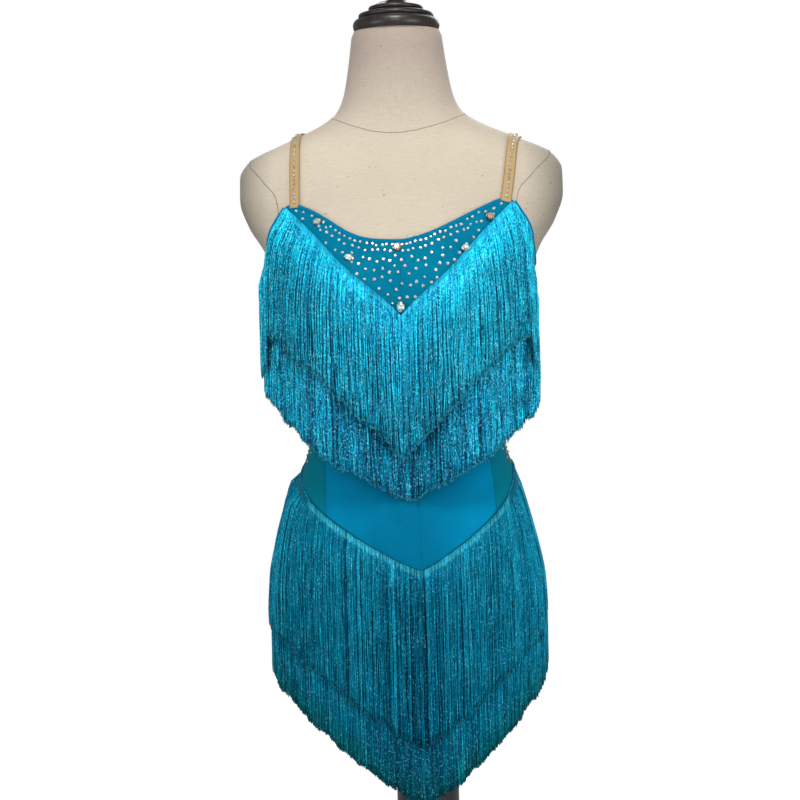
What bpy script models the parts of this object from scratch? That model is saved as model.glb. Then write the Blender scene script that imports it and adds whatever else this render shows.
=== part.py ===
"""A fringed latin dance dress worn on a limbless dress form with its stand.

Frame: +Z up, the form faces -Y, the origin is on the floor under the middle of the stand.
Left and right are the wearer's: left is +X. Metres throughout.

The form is a stack of superellipse sections with two soft bust mounds. Every piece of cloth is a
wall laid over that surface: it is drawn in the form's own coordinates, a turn round the upright
axis (0 at centre front, a quarter turn at the wearer's left) and a height, and lifted along the
surface's normal. A fringe is one tape whose lower edge carries flat locks that hang by their weight.
"""

import math
from collections import namedtuple

import bmesh
import bpy
import numpy as np

# Stand
WAIST_HEIGHT = 0.750
POLE_RADIUS = 0.036
POLE_ASIDE = 0.014  # the post stands a little to the wearer's left of the form's axis
BASE_RADIUS = 0.190
BASE_THICKNESS = 0.022
CLEAR = 0.0003  # between faces that touch

# Cloth, measured out from the form's surface
CLOTH_GAP = 0.0016
CLOTH_WALL = 0.0011
BUST_EASE = 0.0008  # the cloth stands this much further off at the fullest of the bust
CLOTH_OUTSIDE = CLOTH_GAP + CLOTH_WALL
SEAM_TURN = math.radians(0.10)  # half of the gap at an upright seam
SEAM_DROP = 0.0003  # half of the gap at a level seam

# Fringe
TAPE_HEIGHT = 0.010
TAPE_GAP = 0.0011
TAPE_WALL = 0.0010
TAPE_INSIDE = CLOTH_OUTSIDE + TAPE_GAP
TAPE_OUTSIDE = TAPE_INSIDE + TAPE_WALL
LOCK_THICKNESS = 0.0018
LOCK_SHARE = 0.76  # of the pitch, the rest is the gap between two locks
UNDER_LIFT = 0.0056  # middle of an under tier, out from the form
OVER_LIFT = 0.0094  # middle of an over tier
LIFT_RUN = 0.034  # length over which a lock leaves its tape's lift for its tier's
FAN_RUN = 0.050  # length over which a fanned lock turns from its slope to hang straight
HANG_STEPS = 40
BEND = 0.0007  # a lock's straight stretches stay this close to its path

# Each tier: its locks' length at the front and its lift, and for the wearer's right and left how much
# of the length the side lacks, the sideways slope with which a lock at the yoke's end leaves the tape,
# and how much further off the form the locks hang at the side
Side = namedtuple("Side", "lack fan flare")
Tier = namedtuple("Tier", "length lift right left")
BUST_OVER = Tier(0.146, OVER_LIFT, Side(0.05, 1.9, 0.012), Side(0.05, 1.4, 0.005))
BUST_UNDER = Tier(0.146, UNDER_LIFT, Side(0.16, 0.0, 0.012), Side(0.03, 0.0, 0.005))
SKIRT_OVER = Tier(0.184, OVER_LIFT, Side(0.08, 0.0, 0.005), Side(0.08, 0.0, 0.0))
SKIRT_UNDER = Tier(0.2005, UNDER_LIFT, Side(0.075, 0.0, 0.005), Side(0.075, 0.0, 0.0))

# The dress's lines, as heights above the floor
NECKLINE_LOW = 0.9875
STRAP_SEAT = 1.030  # top corners of the yoke, where the straps start
UNDERARM = 0.962
SCOOP_DROP = 0.085  # of the back's edge below the underarm
YOKE_POINT = 0.907  # lower point of the yoke's V
BUST_POINT = 0.858  # lower point of the bust's under tier
SKIRT_POINT = 0.627  # lower point of the midriff's V
SKIRT_SIDE = 0.736  # skirt seam at a quarter turn
SKIRT_BACK = 0.674  # skirt seam at centre back
SKIRT_HEM = 0.530  # hem of the short base skirt, under the fringe

# Straps
STRAP_WIDTH = 0.012
STRAP_STATIONS = 20

# The form, from its flat underside to its flat neck top. rise is the height above the waist.
Section = namedtuple("Section", "rise half_width front back power")
SECTIONS = (
    Section(-0.238, 0.1430, 0.0880, 0.1040, 2.30),
    Section(-0.220, 0.1490, 0.0930, 0.1100, 2.30),
    Section(-0.184, 0.1515, 0.0980, 0.1160, 2.25),
    Section(-0.150, 0.1500, 0.1000, 0.1170, 2.20),
    Section(-0.109, 0.1425, 0.0990, 0.1100, 2.20),
    Section(-0.060, 0.1295, 0.0930, 0.0940, 2.15),
    Section(-0.016, 0.1170, 0.0855, 0.0815, 2.10),
    Section(0.008, 0.1100, 0.0830, 0.0780, 2.10),
    Section(0.050, 0.1140, 0.0820, 0.0800, 2.10),
    Section(0.100, 0.1260, 0.0860, 0.0880, 2.10),
    Section(0.150, 0.1380, 0.0920, 0.0950, 2.15),
    Section(0.200, 0.1460, 0.0940, 0.1000, 2.20),
    Section(0.230, 0.1570, 0.0880, 0.1010, 2.30),
    Section(0.260, 0.1750, 0.0780, 0.0980, 2.40),
    Section(0.290, 0.1845, 0.0700, 0.0920, 2.40),
    Section(0.316, 0.1840, 0.0620, 0.0850, 2.40),
    Section(0.334, 0.1730, 0.0570, 0.0790, 2.30),
    Section(0.354, 0.1310, 0.0530, 0.0740, 2.20),
    Section(0.372, 0.0900, 0.0510, 0.0700, 2.10),
    Section(0.386, 0.0710, 0.0500, 0.0660, 2.00),
    Section(0.406, 0.0620, 0.0490, 0.0620, 2.00),
    Section(0.440, 0.0555, 0.0475, 0.0580, 2.00),
    Section(0.4765, 0.0505, 0.0450, 0.0530, 2.00),
)
FORM_BOTTOM = WAIST_HEIGHT + SECTIONS[0].rise
FORM_TOP = WAIST_HEIGHT + SECTIONS[-1].rise
FORM_COLUMNS = 48
# Height bands of the form's mesh: top of the band above the waist, and its rings
Band = namedtuple("Band", "rise rings")
FORM_BANDS = (
    Band(-0.090, 5),
    Band(0.110, 10),
    Band(0.230, 9),
    Band(0.334, 7),
    Band(0.386, 4),
    Band(0.4765, 3),
)

Mound = namedtuple("Mound", "turn rise proud spread above below")
BUST = Mound(math.radians(33), 0.155, 0.030, math.radians(27), 0.060, 0.045)

# The worn dress is turned a little on the form: its centre front line, by height
Turned = namedtuple("Turned", "height degrees")
CENTRE_FRONT = (
    Turned(0.627, 12.0),
    Turned(0.710, 11.5),
    Turned(0.860, 6.0),
    Turned(0.907, 4.0),
    Turned(1.030, 3.0),
)
QUARTER = math.pi / 2
SIDE_SEAM = math.radians(86)
YOKE_END = math.radians(64)  # at the strap's seat, where the over tier of the bust ends

# Front seam between centre panel and side panel, by height
PRINCESS_SEAM = (
    Turned(0.660, 51.0),
    Turned(0.745, 60.0),
    Turned(0.850, 59.0),
    Turned(1.000, 69.0),
)

Strap = namedtuple("Strap", "name seat_x shoulder_x back_x")
STRAPS = (
    Strap("strap_left", 0.1205, 0.133, 0.080),
    Strap("strap_right", -0.1120, -0.114, -0.080),
)

STONE_HEIGHT = 0.0035
STONE_GAP = 0.0006
ON_YOKE = CLOTH_OUTSIDE + STONE_GAP
ON_TAPE = TAPE_OUTSIDE + STONE_GAP
Stone = namedtuple("Stone", "degrees height half_width half_height slant seat")
STONES = (
    Stone(-49.8, 1.0100, 0.0052, 0.0040, 25, ON_YOKE),
    Stone(-26.9, 0.9683, 0.0062, 0.0042, -12, ON_YOKE),
    Stone(1.7, 0.9790, 0.0050, 0.0050, 0, ON_YOKE),
    Stone(4.1, 0.9147, 0.0047, 0.0062, 0, ON_TAPE),
    Stone(40.9, 0.9750, 0.0056, 0.0042, 12, ON_TAPE),
    Stone(56.2, 1.0100, 0.0050, 0.0042, -20, ON_TAPE),
)
STONE_SIDES = 10

# Turned profile of the neck cap: radius and height above its underside
Turn = namedtuple("Turn", "radius rise")
NECK_CAP = (
    Turn(0.0470, 0.0000),
    Turn(0.0492, 0.0030),
    Turn(0.0492, 0.0100),
    Turn(0.0465, 0.0140),
    Turn(0.0425, 0.0150),
    Turn(0.0420, 0.0200),
    Turn(0.0330, 0.0220),
    Turn(0.0305, 0.0280),
    Turn(0.0230, 0.0310),
    Turn(0.0165, 0.0330),
)
CAP_KNOB = (
    Turn(0.0120, 0.0000),
    Turn(0.0090, 0.0040),
    Turn(0.0120, 0.0080),
    Turn(0.0155, 0.0140),
    Turn(0.0150, 0.0210),
    Turn(0.0100, 0.0265),
    Turn(0.0030, 0.0285),
)
STAND_BASE = (
    Turn(BASE_RADIUS - 0.004, 0.0),
    Turn(BASE_RADIUS, 0.005),
    Turn(BASE_RADIUS, 0.012),
    Turn(BASE_RADIUS - 0.010, 0.020),
    Turn(BASE_RADIUS - 0.020, BASE_THICKNESS),
)

Finish = namedtuple("Finish", "colour roughness metallic")
FINISHES = {
    "teal_knit": Finish((0.000, 0.270, 0.420), 0.55, 0.0),
    "teal_net": Finish((0.000, 0.160, 0.210), 0.60, 0.0),
    "skin_net": Finish((0.640, 0.420, 0.230), 0.60, 0.0),
    "fringe": Finish((0.000, 0.360, 0.480), 0.40, 0.0),
    "crystal": Finish((0.850, 0.900, 0.950), 0.08, 0.0),
    "linen": Finish((0.620, 0.550, 0.440), 0.85, 0.0),
    "dark_wood": Finish((0.030, 0.018, 0.014), 0.25, 0.0),
}


# The form's surface


def monotone_slopes(heights, values):
    """Tangents of a smooth curve through the sections that never overshoots one (Fritsch-Carlson)."""
    steps = np.diff(heights)
    rates = np.diff(values) / steps
    slopes = np.zeros(len(values))
    slopes[0], slopes[-1] = rates[0], rates[-1]
    for i in range(1, len(values) - 1):
        if rates[i - 1] * rates[i] > 0:
            before, after = 2 * steps[i] + steps[i - 1], steps[i] + 2 * steps[i - 1]
            slopes[i] = (before + after) / (before / rates[i - 1] + after / rates[i])
    return slopes


SECTION_ROWS = np.array(SECTIONS)
SECTION_HEIGHTS = WAIST_HEIGHT + SECTION_ROWS[:, 0]
SECTION_SLOPES = np.stack([monotone_slopes(SECTION_HEIGHTS, column) for column in SECTION_ROWS[:, 1:].T], 1)


def section_at(height):
    """(half width, front depth, back depth, power) of the form at these heights."""
    height = np.clip(np.asarray(height, float), SECTION_HEIGHTS[0], SECTION_HEIGHTS[-1])
    i = np.clip(np.searchsorted(SECTION_HEIGHTS, height, side="right") - 1, 0, len(SECTIONS) - 2)
    span = SECTION_HEIGHTS[i + 1] - SECTION_HEIGHTS[i]
    s = (height - SECTION_HEIGHTS[i]) / span
    found = []
    for column in range(SECTION_SLOPES.shape[1]):
        low, high = SECTION_ROWS[i, column + 1], SECTION_ROWS[i + 1, column + 1]
        leave, arrive = SECTION_SLOPES[i, column] * span, SECTION_SLOPES[i + 1, column] * span
        found.append(
            (2 * s**3 - 3 * s**2 + 1) * low
            + (s**3 - 2 * s**2 + s) * leave
            + (3 * s**2 - 2 * s**3) * high
            + (s**3 - s**2) * arrive
        )
    return found


def form_radius(turn, height, proud=BUST.proud):
    """How far the form's surface is from its upright axis."""
    turn, height = np.broadcast_arrays(np.asarray(turn, float), np.asarray(height, float))
    half_width, front, back, power = section_at(height)
    depth = np.where(np.cos(turn) > 0, front, back)
    across = (np.abs(np.sin(turn)) / half_width) ** power
    along = (np.abs(np.cos(turn)) / depth) ** power
    radius = (across + along) ** (-1 / power)
    above_bust = height - (WAIST_HEIGHT + BUST.rise)
    fade = np.exp(-((above_bust / np.where(above_bust > 0, BUST.above, BUST.below)) ** 2))
    for side in (-1, 1):
        off = np.angle(np.exp(1j * (turn - side * BUST.turn)))
        radius = radius + proud * fade * np.exp(-((off / BUST.spread) ** 2))
    return radius


def on_axis(turn, height, radius):
    return np.stack([radius * np.sin(turn), -radius * np.cos(turn), height + 0 * radius], -1)


def form_normal(turn, height):
    """Outward unit normal of the form's surface, from two small steps on it."""
    step = 1e-4

    def at(t, z):
        return on_axis(t, z, form_radius(t, z))

    across = at(turn + step, height) - at(turn - step, height)
    up = at(turn, height + step) - at(turn, height - step)
    normal = np.cross(across, up)
    return normal / np.linalg.norm(normal, axis=-1, keepdims=True)


def form_point(turn, height, lift=0.0):
    """Points on the form's surface, moved out along its normal."""
    turn, height = np.broadcast_arrays(np.asarray(turn, float), np.asarray(height, float))
    return on_axis(turn, height, form_radius(turn, height)) + lift * form_normal(turn, height)


def clearance(points):
    """(distance out from the form's surface, outward normal there) of points near it."""
    turn = np.arctan2(points[..., 0], -points[..., 1])
    height = np.clip(points[..., 2], FORM_BOTTOM + 0.001, FORM_TOP - 0.001)
    normal = form_normal(turn, height)
    radial = on_axis(turn, 0 * height, np.ones_like(turn))
    beyond = np.hypot(points[..., 0], points[..., 1]) - form_radius(turn, height)
    return beyond * (normal * radial).sum(-1), normal


# The dress's lines on the form


def worn_turn(angle, height):
    """The dress's own angle, as a turn on the form: its front is shifted, its sides stay in place."""
    shift = np.radians(np.interp(height, *zip(*CENTRE_FRONT)))
    from_front = np.abs((angle + math.pi) % math.tau - math.pi)
    return angle + shift * np.clip(1 - from_front / QUARTER, 0, 1)


def princess_seam(height):
    return np.radians(np.interp(height, *zip(*PRINCESS_SEAM)))


def top_edge(angle):
    """Neckline to 60 degrees from centre front, strap seat to 65, armhole to 90, then the level
    underarm and, in the last 38, the scoop of the back."""
    angle = np.abs((np.degrees(angle) + 180) % 360 - 180)
    neckline = NECKLINE_LOW + (STRAP_SEAT - NECKLINE_LOW) * (np.minimum(angle, 60) / 60) ** 1.7
    armhole = UNDERARM + (STRAP_SEAT - UNDERARM) * (np.clip(90 - angle, 0, 25) / 25) ** 2.2
    scoop = UNDERARM - SCOOP_DROP * (1 - (np.minimum(180 - angle, 38) / 38) ** 2)
    return np.where(angle < 60, neckline, np.where(angle < 90, armhole, scoop))


def yoke_seam(angle):
    """V under the yoke, where the over tier of the bust fringe is sewn. Its ends curl up to the straps."""
    share = np.abs(angle) / YOKE_END
    return YOKE_POINT + 0.109 * share + 0.011 * share**6


def bust_seam(angle):
    """V of the under tier of the bust fringe, up to the side seams."""
    return BUST_POINT + 0.097 * np.abs(angle) / QUARTER


def skirt_seam(angle):
    """Deep V in front and a shallow one behind, where the skirt and its over tier are sewn."""
    angle = np.abs((angle + math.pi) % math.tau - math.pi)
    front = SKIRT_POINT + (SKIRT_SIDE - SKIRT_POINT) * (angle / QUARTER) ** 1.2
    back = SKIRT_SIDE - (SKIRT_SIDE - SKIRT_BACK) * (np.maximum(angle - QUARTER, 0) / QUARTER) ** 1.2
    return np.where(angle < QUARTER, front, back)


def lower_skirt_seam(angle):
    """The two seams draw together from centre front and centre back to the sides."""
    return skirt_seam(angle) - 0.040 - 0.010 * np.cos(angle) ** 2


# Mesh building


def add_object(name, points, faces, finish, smooth=True):
    mesh = bpy.data.meshes.new(name)
    mesh.from_pydata([tuple(p) for p in points], [], faces)
    work = bmesh.new()
    work.from_mesh(mesh)
    bmesh.ops.recalc_face_normals(work, faces=work.faces)
    work.to_mesh(mesh)
    work.free()
    mesh.materials.append(make_material(name, FINISHES[finish]))
    if smooth:
        mesh.shade_smooth()
        mesh.set_sharp_from_angle(angle=math.radians(40))
    placed = bpy.data.objects.new(name, mesh)
    bpy.context.collection.objects.link(placed)
    return placed


def make_material(name, finish):
    made = bpy.data.materials.new(name)
    made.use_nodes = True
    made.diffuse_color = (*finish.colour, 1)
    shader = made.node_tree.nodes["Principled BSDF"]
    shader.inputs["Base Color"].default_value = (*finish.colour, 1)
    shader.inputs["Roughness"].default_value = finish.roughness
    shader.inputs["Metallic"].default_value = finish.metallic
    return made


def turned(name, profile, bottom, sides, finish, aside=0.0):
    """A solid turned round an upright axis, with flat ends."""
    rings = len(profile)
    turns = np.arange(sides) * math.tau / sides
    points = []
    for radius, rise in profile:
        points.extend((aside + radius * math.sin(t), -radius * math.cos(t), bottom + rise) for t in turns)
    faces = [tuple(range(sides)), tuple((rings - 1) * sides + i for i in range(sides))]
    for ring in range(rings - 1):
        for i in range(sides):
            j = (i + 1) % sides
            low, high = ring * sides, (ring + 1) * sides
            faces.append((low + i, low + j, high + j, high + i))
    return add_object(name, points, faces, finish)


def wall(name, inner, outer, finish):
    """A closed wall between two grids of points, [row][column]."""
    rows, columns = inner.shape[:2]
    points = np.concatenate([inner.reshape(-1, 3), outer.reshape(-1, 3)])
    index = np.arange(rows * columns).reshape(rows, columns)
    shift = rows * columns
    faces = []
    for grid in (index, index + shift):
        for i in range(rows - 1):
            for j in range(columns - 1):
                faces.append((grid[i, j], grid[i, j + 1], grid[i + 1, j + 1], grid[i + 1, j]))
    rim = [*index[0], *index[1:, -1], *index[-1, -2::-1], *index[-2:0:-1, 0]]
    for a, b in zip(rim, rim[1:] + rim[:1]):
        faces.append((a, b, b + shift, a + shift))
    return add_object(name, points, [tuple(int(v) for v in face) for face in faces], finish)


def cloth(name, turns, heights, finish):
    inner = form_point(turns, heights, CLOTH_GAP)
    outer = form_point(turns, heights, CLOTH_OUTSIDE)
    return wall(name, inner, outer, finish)


# The stand and the form


def build_stand():
    turned("stand_base", STAND_BASE, 0.0, 32, "dark_wood")
    pole_bottom = BASE_THICKNESS + CLEAR
    pole = (Turn(POLE_RADIUS, 0.0), Turn(POLE_RADIUS, FORM_BOTTOM - CLEAR - pole_bottom))
    turned("stand_pole", pole, pole_bottom, 24, "dark_wood", POLE_ASIDE)


def build_form():
    heights = [FORM_BOTTOM]
    for band in FORM_BANDS:
        top = WAIST_HEIGHT + band.rise
        heights.extend(np.linspace(heights[-1], top, band.rings + 1)[1:])
    turns = np.arange(FORM_COLUMNS) * math.tau / FORM_COLUMNS
    radius = form_radius(turns[None, :], np.array(heights)[:, None], BUST.proud - BUST_EASE)
    rings = on_axis(turns[None, :], np.array(heights)[:, None], radius)
    points = rings.reshape(-1, 3)
    last = (len(heights) - 1) * FORM_COLUMNS
    faces = [tuple(range(FORM_COLUMNS)), tuple(last + i for i in range(FORM_COLUMNS))]
    for ring in range(len(heights) - 1):
        low, high = ring * FORM_COLUMNS, (ring + 1) * FORM_COLUMNS
        for i in range(FORM_COLUMNS):
            j = (i + 1) % FORM_COLUMNS
            faces.append((low + i, low + j, high + j, high + i))
    add_object("form_torso", points, faces, "linen")


def build_neck_cap():
    bottom = FORM_TOP + CLEAR
    turned("neck_cap", NECK_CAP, bottom, 24, "dark_wood")
    turned("cap_knob", CAP_KNOB, bottom + NECK_CAP[-1].rise + CLEAR, 16, "dark_wood")


# The body of the dress

ROW_BREAK = 0.820  # the rows may be closer above this height, over the bust
Rows = namedtuple("Rows", "below above")
FRONT_ROWS = Rows(6, 13)
BACK_ROWS = Rows(5, 5)


def panel_lines(first_seam, last_seam, shares, rows):
    """(turns, heights) of a body panel, skirt seam to top edge. shares places its columns between
    its two upright seams."""
    turns, heights = [], []
    for share in shares:

        def angle_at(z, share=share):
            return (1 - share) * (first_seam(z) + SEAM_TURN) + share * (last_seam(z) - SEAM_TURN)

        low, high = WAIST_HEIGHT, UNDERARM
        for _ in range(30):
            low = float(skirt_seam(angle_at(low))) + SEAM_DROP
            high = float(top_edge(angle_at(high)))
        column = np.concatenate(
            [np.linspace(low, ROW_BREAK, rows.below + 1)[:-1], np.linspace(ROW_BREAK, high, rows.above + 1)]
        )
        heights.append(column)
        turns.append(worn_turn(angle_at(column), column))
    return np.array(turns).T, np.array(heights).T


def build_body():
    def centre(height):
        return 0 * height

    def princess_right(height):
        return -princess_seam(height)

    def side_left(height):
        return SIDE_SEAM + 0 * height

    def side_right(height):
        return -SIDE_SEAM + 0 * height

    def side_right_behind(height):
        return math.tau - SIDE_SEAM + 0 * height

    even = np.linspace(0, 1, 13)
    front = 0.7 * even + 0.15 * (1 - np.cos(math.pi * even))  # closer at centre front and armhole
    side = np.linspace(0, 1, 5)
    back = np.linspace(0, 1, 27)
    cloth("front_left", *panel_lines(centre, princess_seam, front, FRONT_ROWS), "teal_knit")
    cloth("front_right", *panel_lines(princess_right, centre, front, FRONT_ROWS), "teal_knit")
    cloth("side_left", *panel_lines(princess_seam, side_left, side, FRONT_ROWS), "teal_net")
    cloth("side_right", *panel_lines(side_right, princess_right, side, FRONT_ROWS), "teal_net")
    cloth("back", *panel_lines(side_left, side_right_behind, back, BACK_ROWS), "skin_net")


def build_skirt():
    """Short base skirt under the fringe, in a front and a back."""
    share = (np.linspace(0, 1, 7) ** 1.3)[:, None]  # the rows are closer towards the form's lower edge
    for name, first, last in (
        ("skirt_front", -SIDE_SEAM, SIDE_SEAM),
        ("skirt_back", SIDE_SEAM, math.tau - SIDE_SEAM),
    ):
        angles = np.linspace(first + SEAM_TURN, last - SEAM_TURN, 25)
        heights = (1 - share) * SKIRT_HEM + share * (skirt_seam(angles) - SEAM_DROP)
        turns = worn_turn(np.broadcast_to(angles, heights.shape), heights)
        cloth(name, turns, heights, "teal_knit")


def surface_on_ray(start, direction):
    """Distance along a ray, from a point inside the form, to its surface."""
    inside, outside = 0.0, 0.2
    for _ in range(40):
        middle = (inside + outside) / 2
        if clearance(start + middle * direction)[0] < 0:
            inside = middle
        else:
            outside = middle
    return inside


def strap_line(strap):
    """Points and normals on the form from the front seat over the shoulder to the back. Each lies on
    a ray from a core inside the form, which leans forward from the upright, or back below zero."""
    core_height = 1.0
    forward, backward = 2.2, -2.4  # leans that meet the form well below the strap's two ends

    def at(x, lean):
        start = np.array([x, 0.0, core_height])
        direction = np.array([0.0, -math.sin(lean), math.cos(lean)])
        point = start + surface_on_ray(start, direction) * direction
        return point, clearance(point)[1]

    def lean_where(x, height, furthest):
        """The lean at which the line comes down to this height."""
        above, below = 0.0, furthest
        for _ in range(30):
            middle = (above + below) / 2
            if at(x, middle)[0][2] > height:
                above = middle
            else:
                below = middle
        return above

    front = lean_where(strap.seat_x, STRAP_SEAT + 2 * SEAM_DROP, forward)
    back = lean_where(strap.back_x, UNDERARM + 2 * SEAM_DROP, backward)
    points, normals = [], []
    for share in np.linspace(0, 1, STRAP_STATIONS):
        lean = front + (back - front) * share
        if lean > 0:
            x = strap.shoulder_x + (strap.seat_x - strap.shoulder_x) * (lean / front)
        else:
            x = strap.shoulder_x + (strap.back_x - strap.shoulder_x) * (lean / back)
        point, normal = at(x, lean)
        points.append(point)
        normals.append(normal)
    return np.array(points), np.array(normals)


def trimmed(corner, along):
    """Slide the corner of a strap's end along the strap, onto the panel's top edge."""
    for _ in range(5):
        turn = math.atan2(corner[0], -corner[1])
        angle = 2 * turn - worn_turn(turn, corner[2])
        target = float(top_edge(angle)) + 2 * SEAM_DROP
        corner = corner + along * (target - corner[2]) / along[2]
    return corner


def build_straps():
    for strap in STRAPS:
        points, normals = strap_line(strap)
        along = np.gradient(points, axis=0)
        across = np.cross(along, normals)
        across /= np.linalg.norm(across, axis=1, keepdims=True)
        sides = np.stack([points - across * STRAP_WIDTH / 2, points + across * STRAP_WIDTH / 2], 1)
        for end in (0, -1):
            sides[end] = [trimmed(corner, along[end]) for corner in sides[end]]
        inner = sides + CLOTH_GAP * normals[:, None]
        outer = sides + CLOTH_OUTSIDE * normals[:, None]
        wall(strap.name, inner, outer, "skin_net")


# Fringe


def hang(angles, heights, tier):
    """Paths of limp strands from points on the tape. Each step falls, fanned ones sideways too, then
    is pushed off the form and brought back to its length. The lift grows to the tier's, to pass
    over what is sewn below."""
    on_left = np.sin(angles) > 0
    lack = np.where(on_left, tier.left.lack, tier.right.lack)
    step = (tier.length * (1 - lack * np.sin(angles) ** 2) / HANG_STEPS)[:, None]
    fan = np.where(on_left, tier.left.fan, -tier.right.fan) * (np.abs(angles) / YOKE_END) ** 3
    flare = np.where(on_left, tier.left.flare, tier.right.flare)
    start_lift = (TAPE_INSIDE + TAPE_OUTSIDE) / 2
    here = form_point(worn_turn(angles, heights), heights, start_lift)
    path = [here]
    for i in range(1, HANG_STEPS + 1):
        ease = np.minimum(i * step / LIFT_RUN, 1)
        turn = np.arctan2(here[:, 0], -here[:, 1])
        own_lift = (tier.lift + flare * np.sin(turn) ** 6)[:, None]
        lift = start_lift + (own_lift - start_lift) * ease * ease * (3 - 2 * ease)
        slope = fan * np.exp(-i * step[:, 0] / FAN_RUN)
        there = here + step * np.stack([slope * np.cos(turn), slope * np.sin(turn), -np.ones_like(turn)], 1)
        for _ in range(4):
            gap, normal = clearance(there)
            there = there + normal * np.maximum(lift - gap[:, None], 0)
            move = there - here
            there = here + move * step / np.linalg.norm(move, axis=1, keepdims=True)
        path.append(there)
        here = there
    return np.array(path)


def bends(path):
    """The steps at which a lock bends, so that each straight stretch keeps close to its path."""
    found = []
    start = 0
    while start < HANG_STEPS:
        end = start + 1
        while end < HANG_STEPS:
            chord = path[end + 1] - path[start]
            chord /= np.linalg.norm(chord)
            offs = path[start : end + 1] - path[start]
            offs = offs - np.outer(offs @ chord, chord)
            if np.linalg.norm(offs, axis=1).max() > BEND:
                break
            end += 1
        found.append(end)
        start = end
    return found


def build_fringe(name, tier, seam, span, locks):
    """A tape along a seam. Its lower edge runs on into the locks, so that tape and locks are one body."""
    first, last = span
    pitch = (last - first) / locks
    angles = [first]
    for i in range(locks):
        middle = first + (i + 0.5) * pitch
        angles.extend([middle - LOCK_SHARE * pitch / 2, middle + LOCK_SHARE * pitch / 2])
    angles = np.array([*angles, last])
    upper = seam(angles)
    lower = upper - TAPE_HEIGHT
    edges = [
        form_point(worn_turn(angles, upper), upper, TAPE_INSIDE),
        form_point(worn_turn(angles, upper), upper, TAPE_OUTSIDE),
        form_point(worn_turn(angles, lower), lower, TAPE_INSIDE),
        form_point(worn_turn(angles, lower), lower, TAPE_OUTSIDE),
    ]
    points = list(np.concatenate(edges))
    count = len(angles)
    top_in, top_out, low_in, low_out = (np.arange(count) + k * count for k in range(4))
    faces = [(top_in[k], top_out[k], low_out[k], low_in[k]) for k in (0, count - 1)]
    for k in range(count - 1):
        faces.append((top_out[k], top_out[k + 1], low_out[k + 1], low_out[k]))
        faces.append((top_in[k], top_in[k + 1], low_in[k + 1], low_in[k]))
        faces.append((top_in[k], top_in[k + 1], top_out[k + 1], top_out[k]))
        if k % 2 == 0:
            faces.append((low_in[k], low_in[k + 1], low_out[k + 1], low_out[k]))
    paths = hang(angles, lower, tier)
    for k in range(1, count - 1, 2):
        ring = [low_in[k], low_out[k], low_out[k + 1], low_in[k + 1]]
        for step in bends(paths[:, k : k + 2].mean(1)):
            a, b = paths[step, [k, k + 1]]
            out = clearance((a + b) / 2)[1] * np.array([1, 1, 0])
            out *= LOCK_THICKNESS / 2 / np.linalg.norm(out)
            new = list(range(len(points), len(points) + 4))
            points.extend([a - out, a + out, b + out, b - out])
            for i in range(4):
                j = (i + 1) % 4
                faces.append((ring[i], ring[j], new[j], new[i]))
            ring = new
        faces.append(tuple(ring))
    return add_object(name, points, [tuple(int(v) for v in f) for f in faces], "fringe", smooth=False)


def build_fringes():
    yoke = (-YOKE_END, YOKE_END)
    front = (SEAM_TURN - SIDE_SEAM, SIDE_SEAM - SEAM_TURN)
    behind = (SIDE_SEAM + SEAM_TURN, math.tau - SIDE_SEAM - SEAM_TURN)
    build_fringe("fringe_bust_upper", BUST_OVER, yoke_seam, yoke, 26)
    build_fringe("fringe_bust_lower", BUST_UNDER, bust_seam, front, 30)
    build_fringe("fringe_skirt_upper_front", SKIRT_OVER, skirt_seam, front, 30)
    build_fringe("fringe_skirt_upper_back", SKIRT_OVER, skirt_seam, behind, 26)
    build_fringe("fringe_skirt_lower_front", SKIRT_UNDER, lower_skirt_seam, front, 30)
    build_fringe("fringe_skirt_lower_back", SKIRT_UNDER, lower_skirt_seam, behind, 26)


# Large sewn-on crystals


def build_stone(name, stone):
    """An oval crystal: flat back, girdle and flat table, set on the yoke's cloth."""
    turn = math.radians(stone.degrees)
    seat = form_point(turn, stone.height, stone.seat)
    normal = form_normal(turn, stone.height)
    across = np.cross([0, 0, 1.0], normal)
    across /= np.linalg.norm(across)
    up = np.cross(normal, across)
    slant = math.radians(stone.slant)
    points = []
    for rise, scale in ((0.0, 0.90), (0.35, 1.0), (1.0, 0.55)):
        for i in range(STONE_SIDES):
            corner = i * math.tau / STONE_SIDES
            u = stone.half_width * scale * math.cos(corner)
            v = stone.half_height * scale * math.sin(corner)
            u, v = u * math.cos(slant) - v * math.sin(slant), u * math.sin(slant) + v * math.cos(slant)
            points.append(seat + u * across + v * up + rise * STONE_HEIGHT * normal)
    faces = [tuple(range(STONE_SIDES)), tuple(2 * STONE_SIDES + i for i in range(STONE_SIDES))]
    for ring in (0, STONE_SIDES):
        for i in range(STONE_SIDES):
            j = (i + 1) % STONE_SIDES
            faces.append((ring + i, ring + j, ring + STONE_SIDES + j, ring + STONE_SIDES + i))
    add_object(name, points, faces, "crystal", smooth=False)


def build_stones():
    for number, stone in enumerate(STONES, 1):
        build_stone(f"stone_{number}", stone)


def main():
    for old in list(bpy.data.objects):
        bpy.data.objects.remove(old)
    build_stand()
    build_form()
    build_neck_cap()
    build_body()
    build_skirt()
    build_straps()
    build_fringes()
    build_stones()


main()
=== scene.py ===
"""Looks of a fringed latin dance dress on a limbless dress form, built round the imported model.

The garment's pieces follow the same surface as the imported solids: the form's sections with two soft
mounds, and a turn round the upright axis and a height for every point. The fringe is built strand by
strand, each one hanging by its own weight from its seam.
"""

import math
from collections import namedtuple

import bpy
import numpy as np
from mathutils import Matrix, Vector


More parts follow.
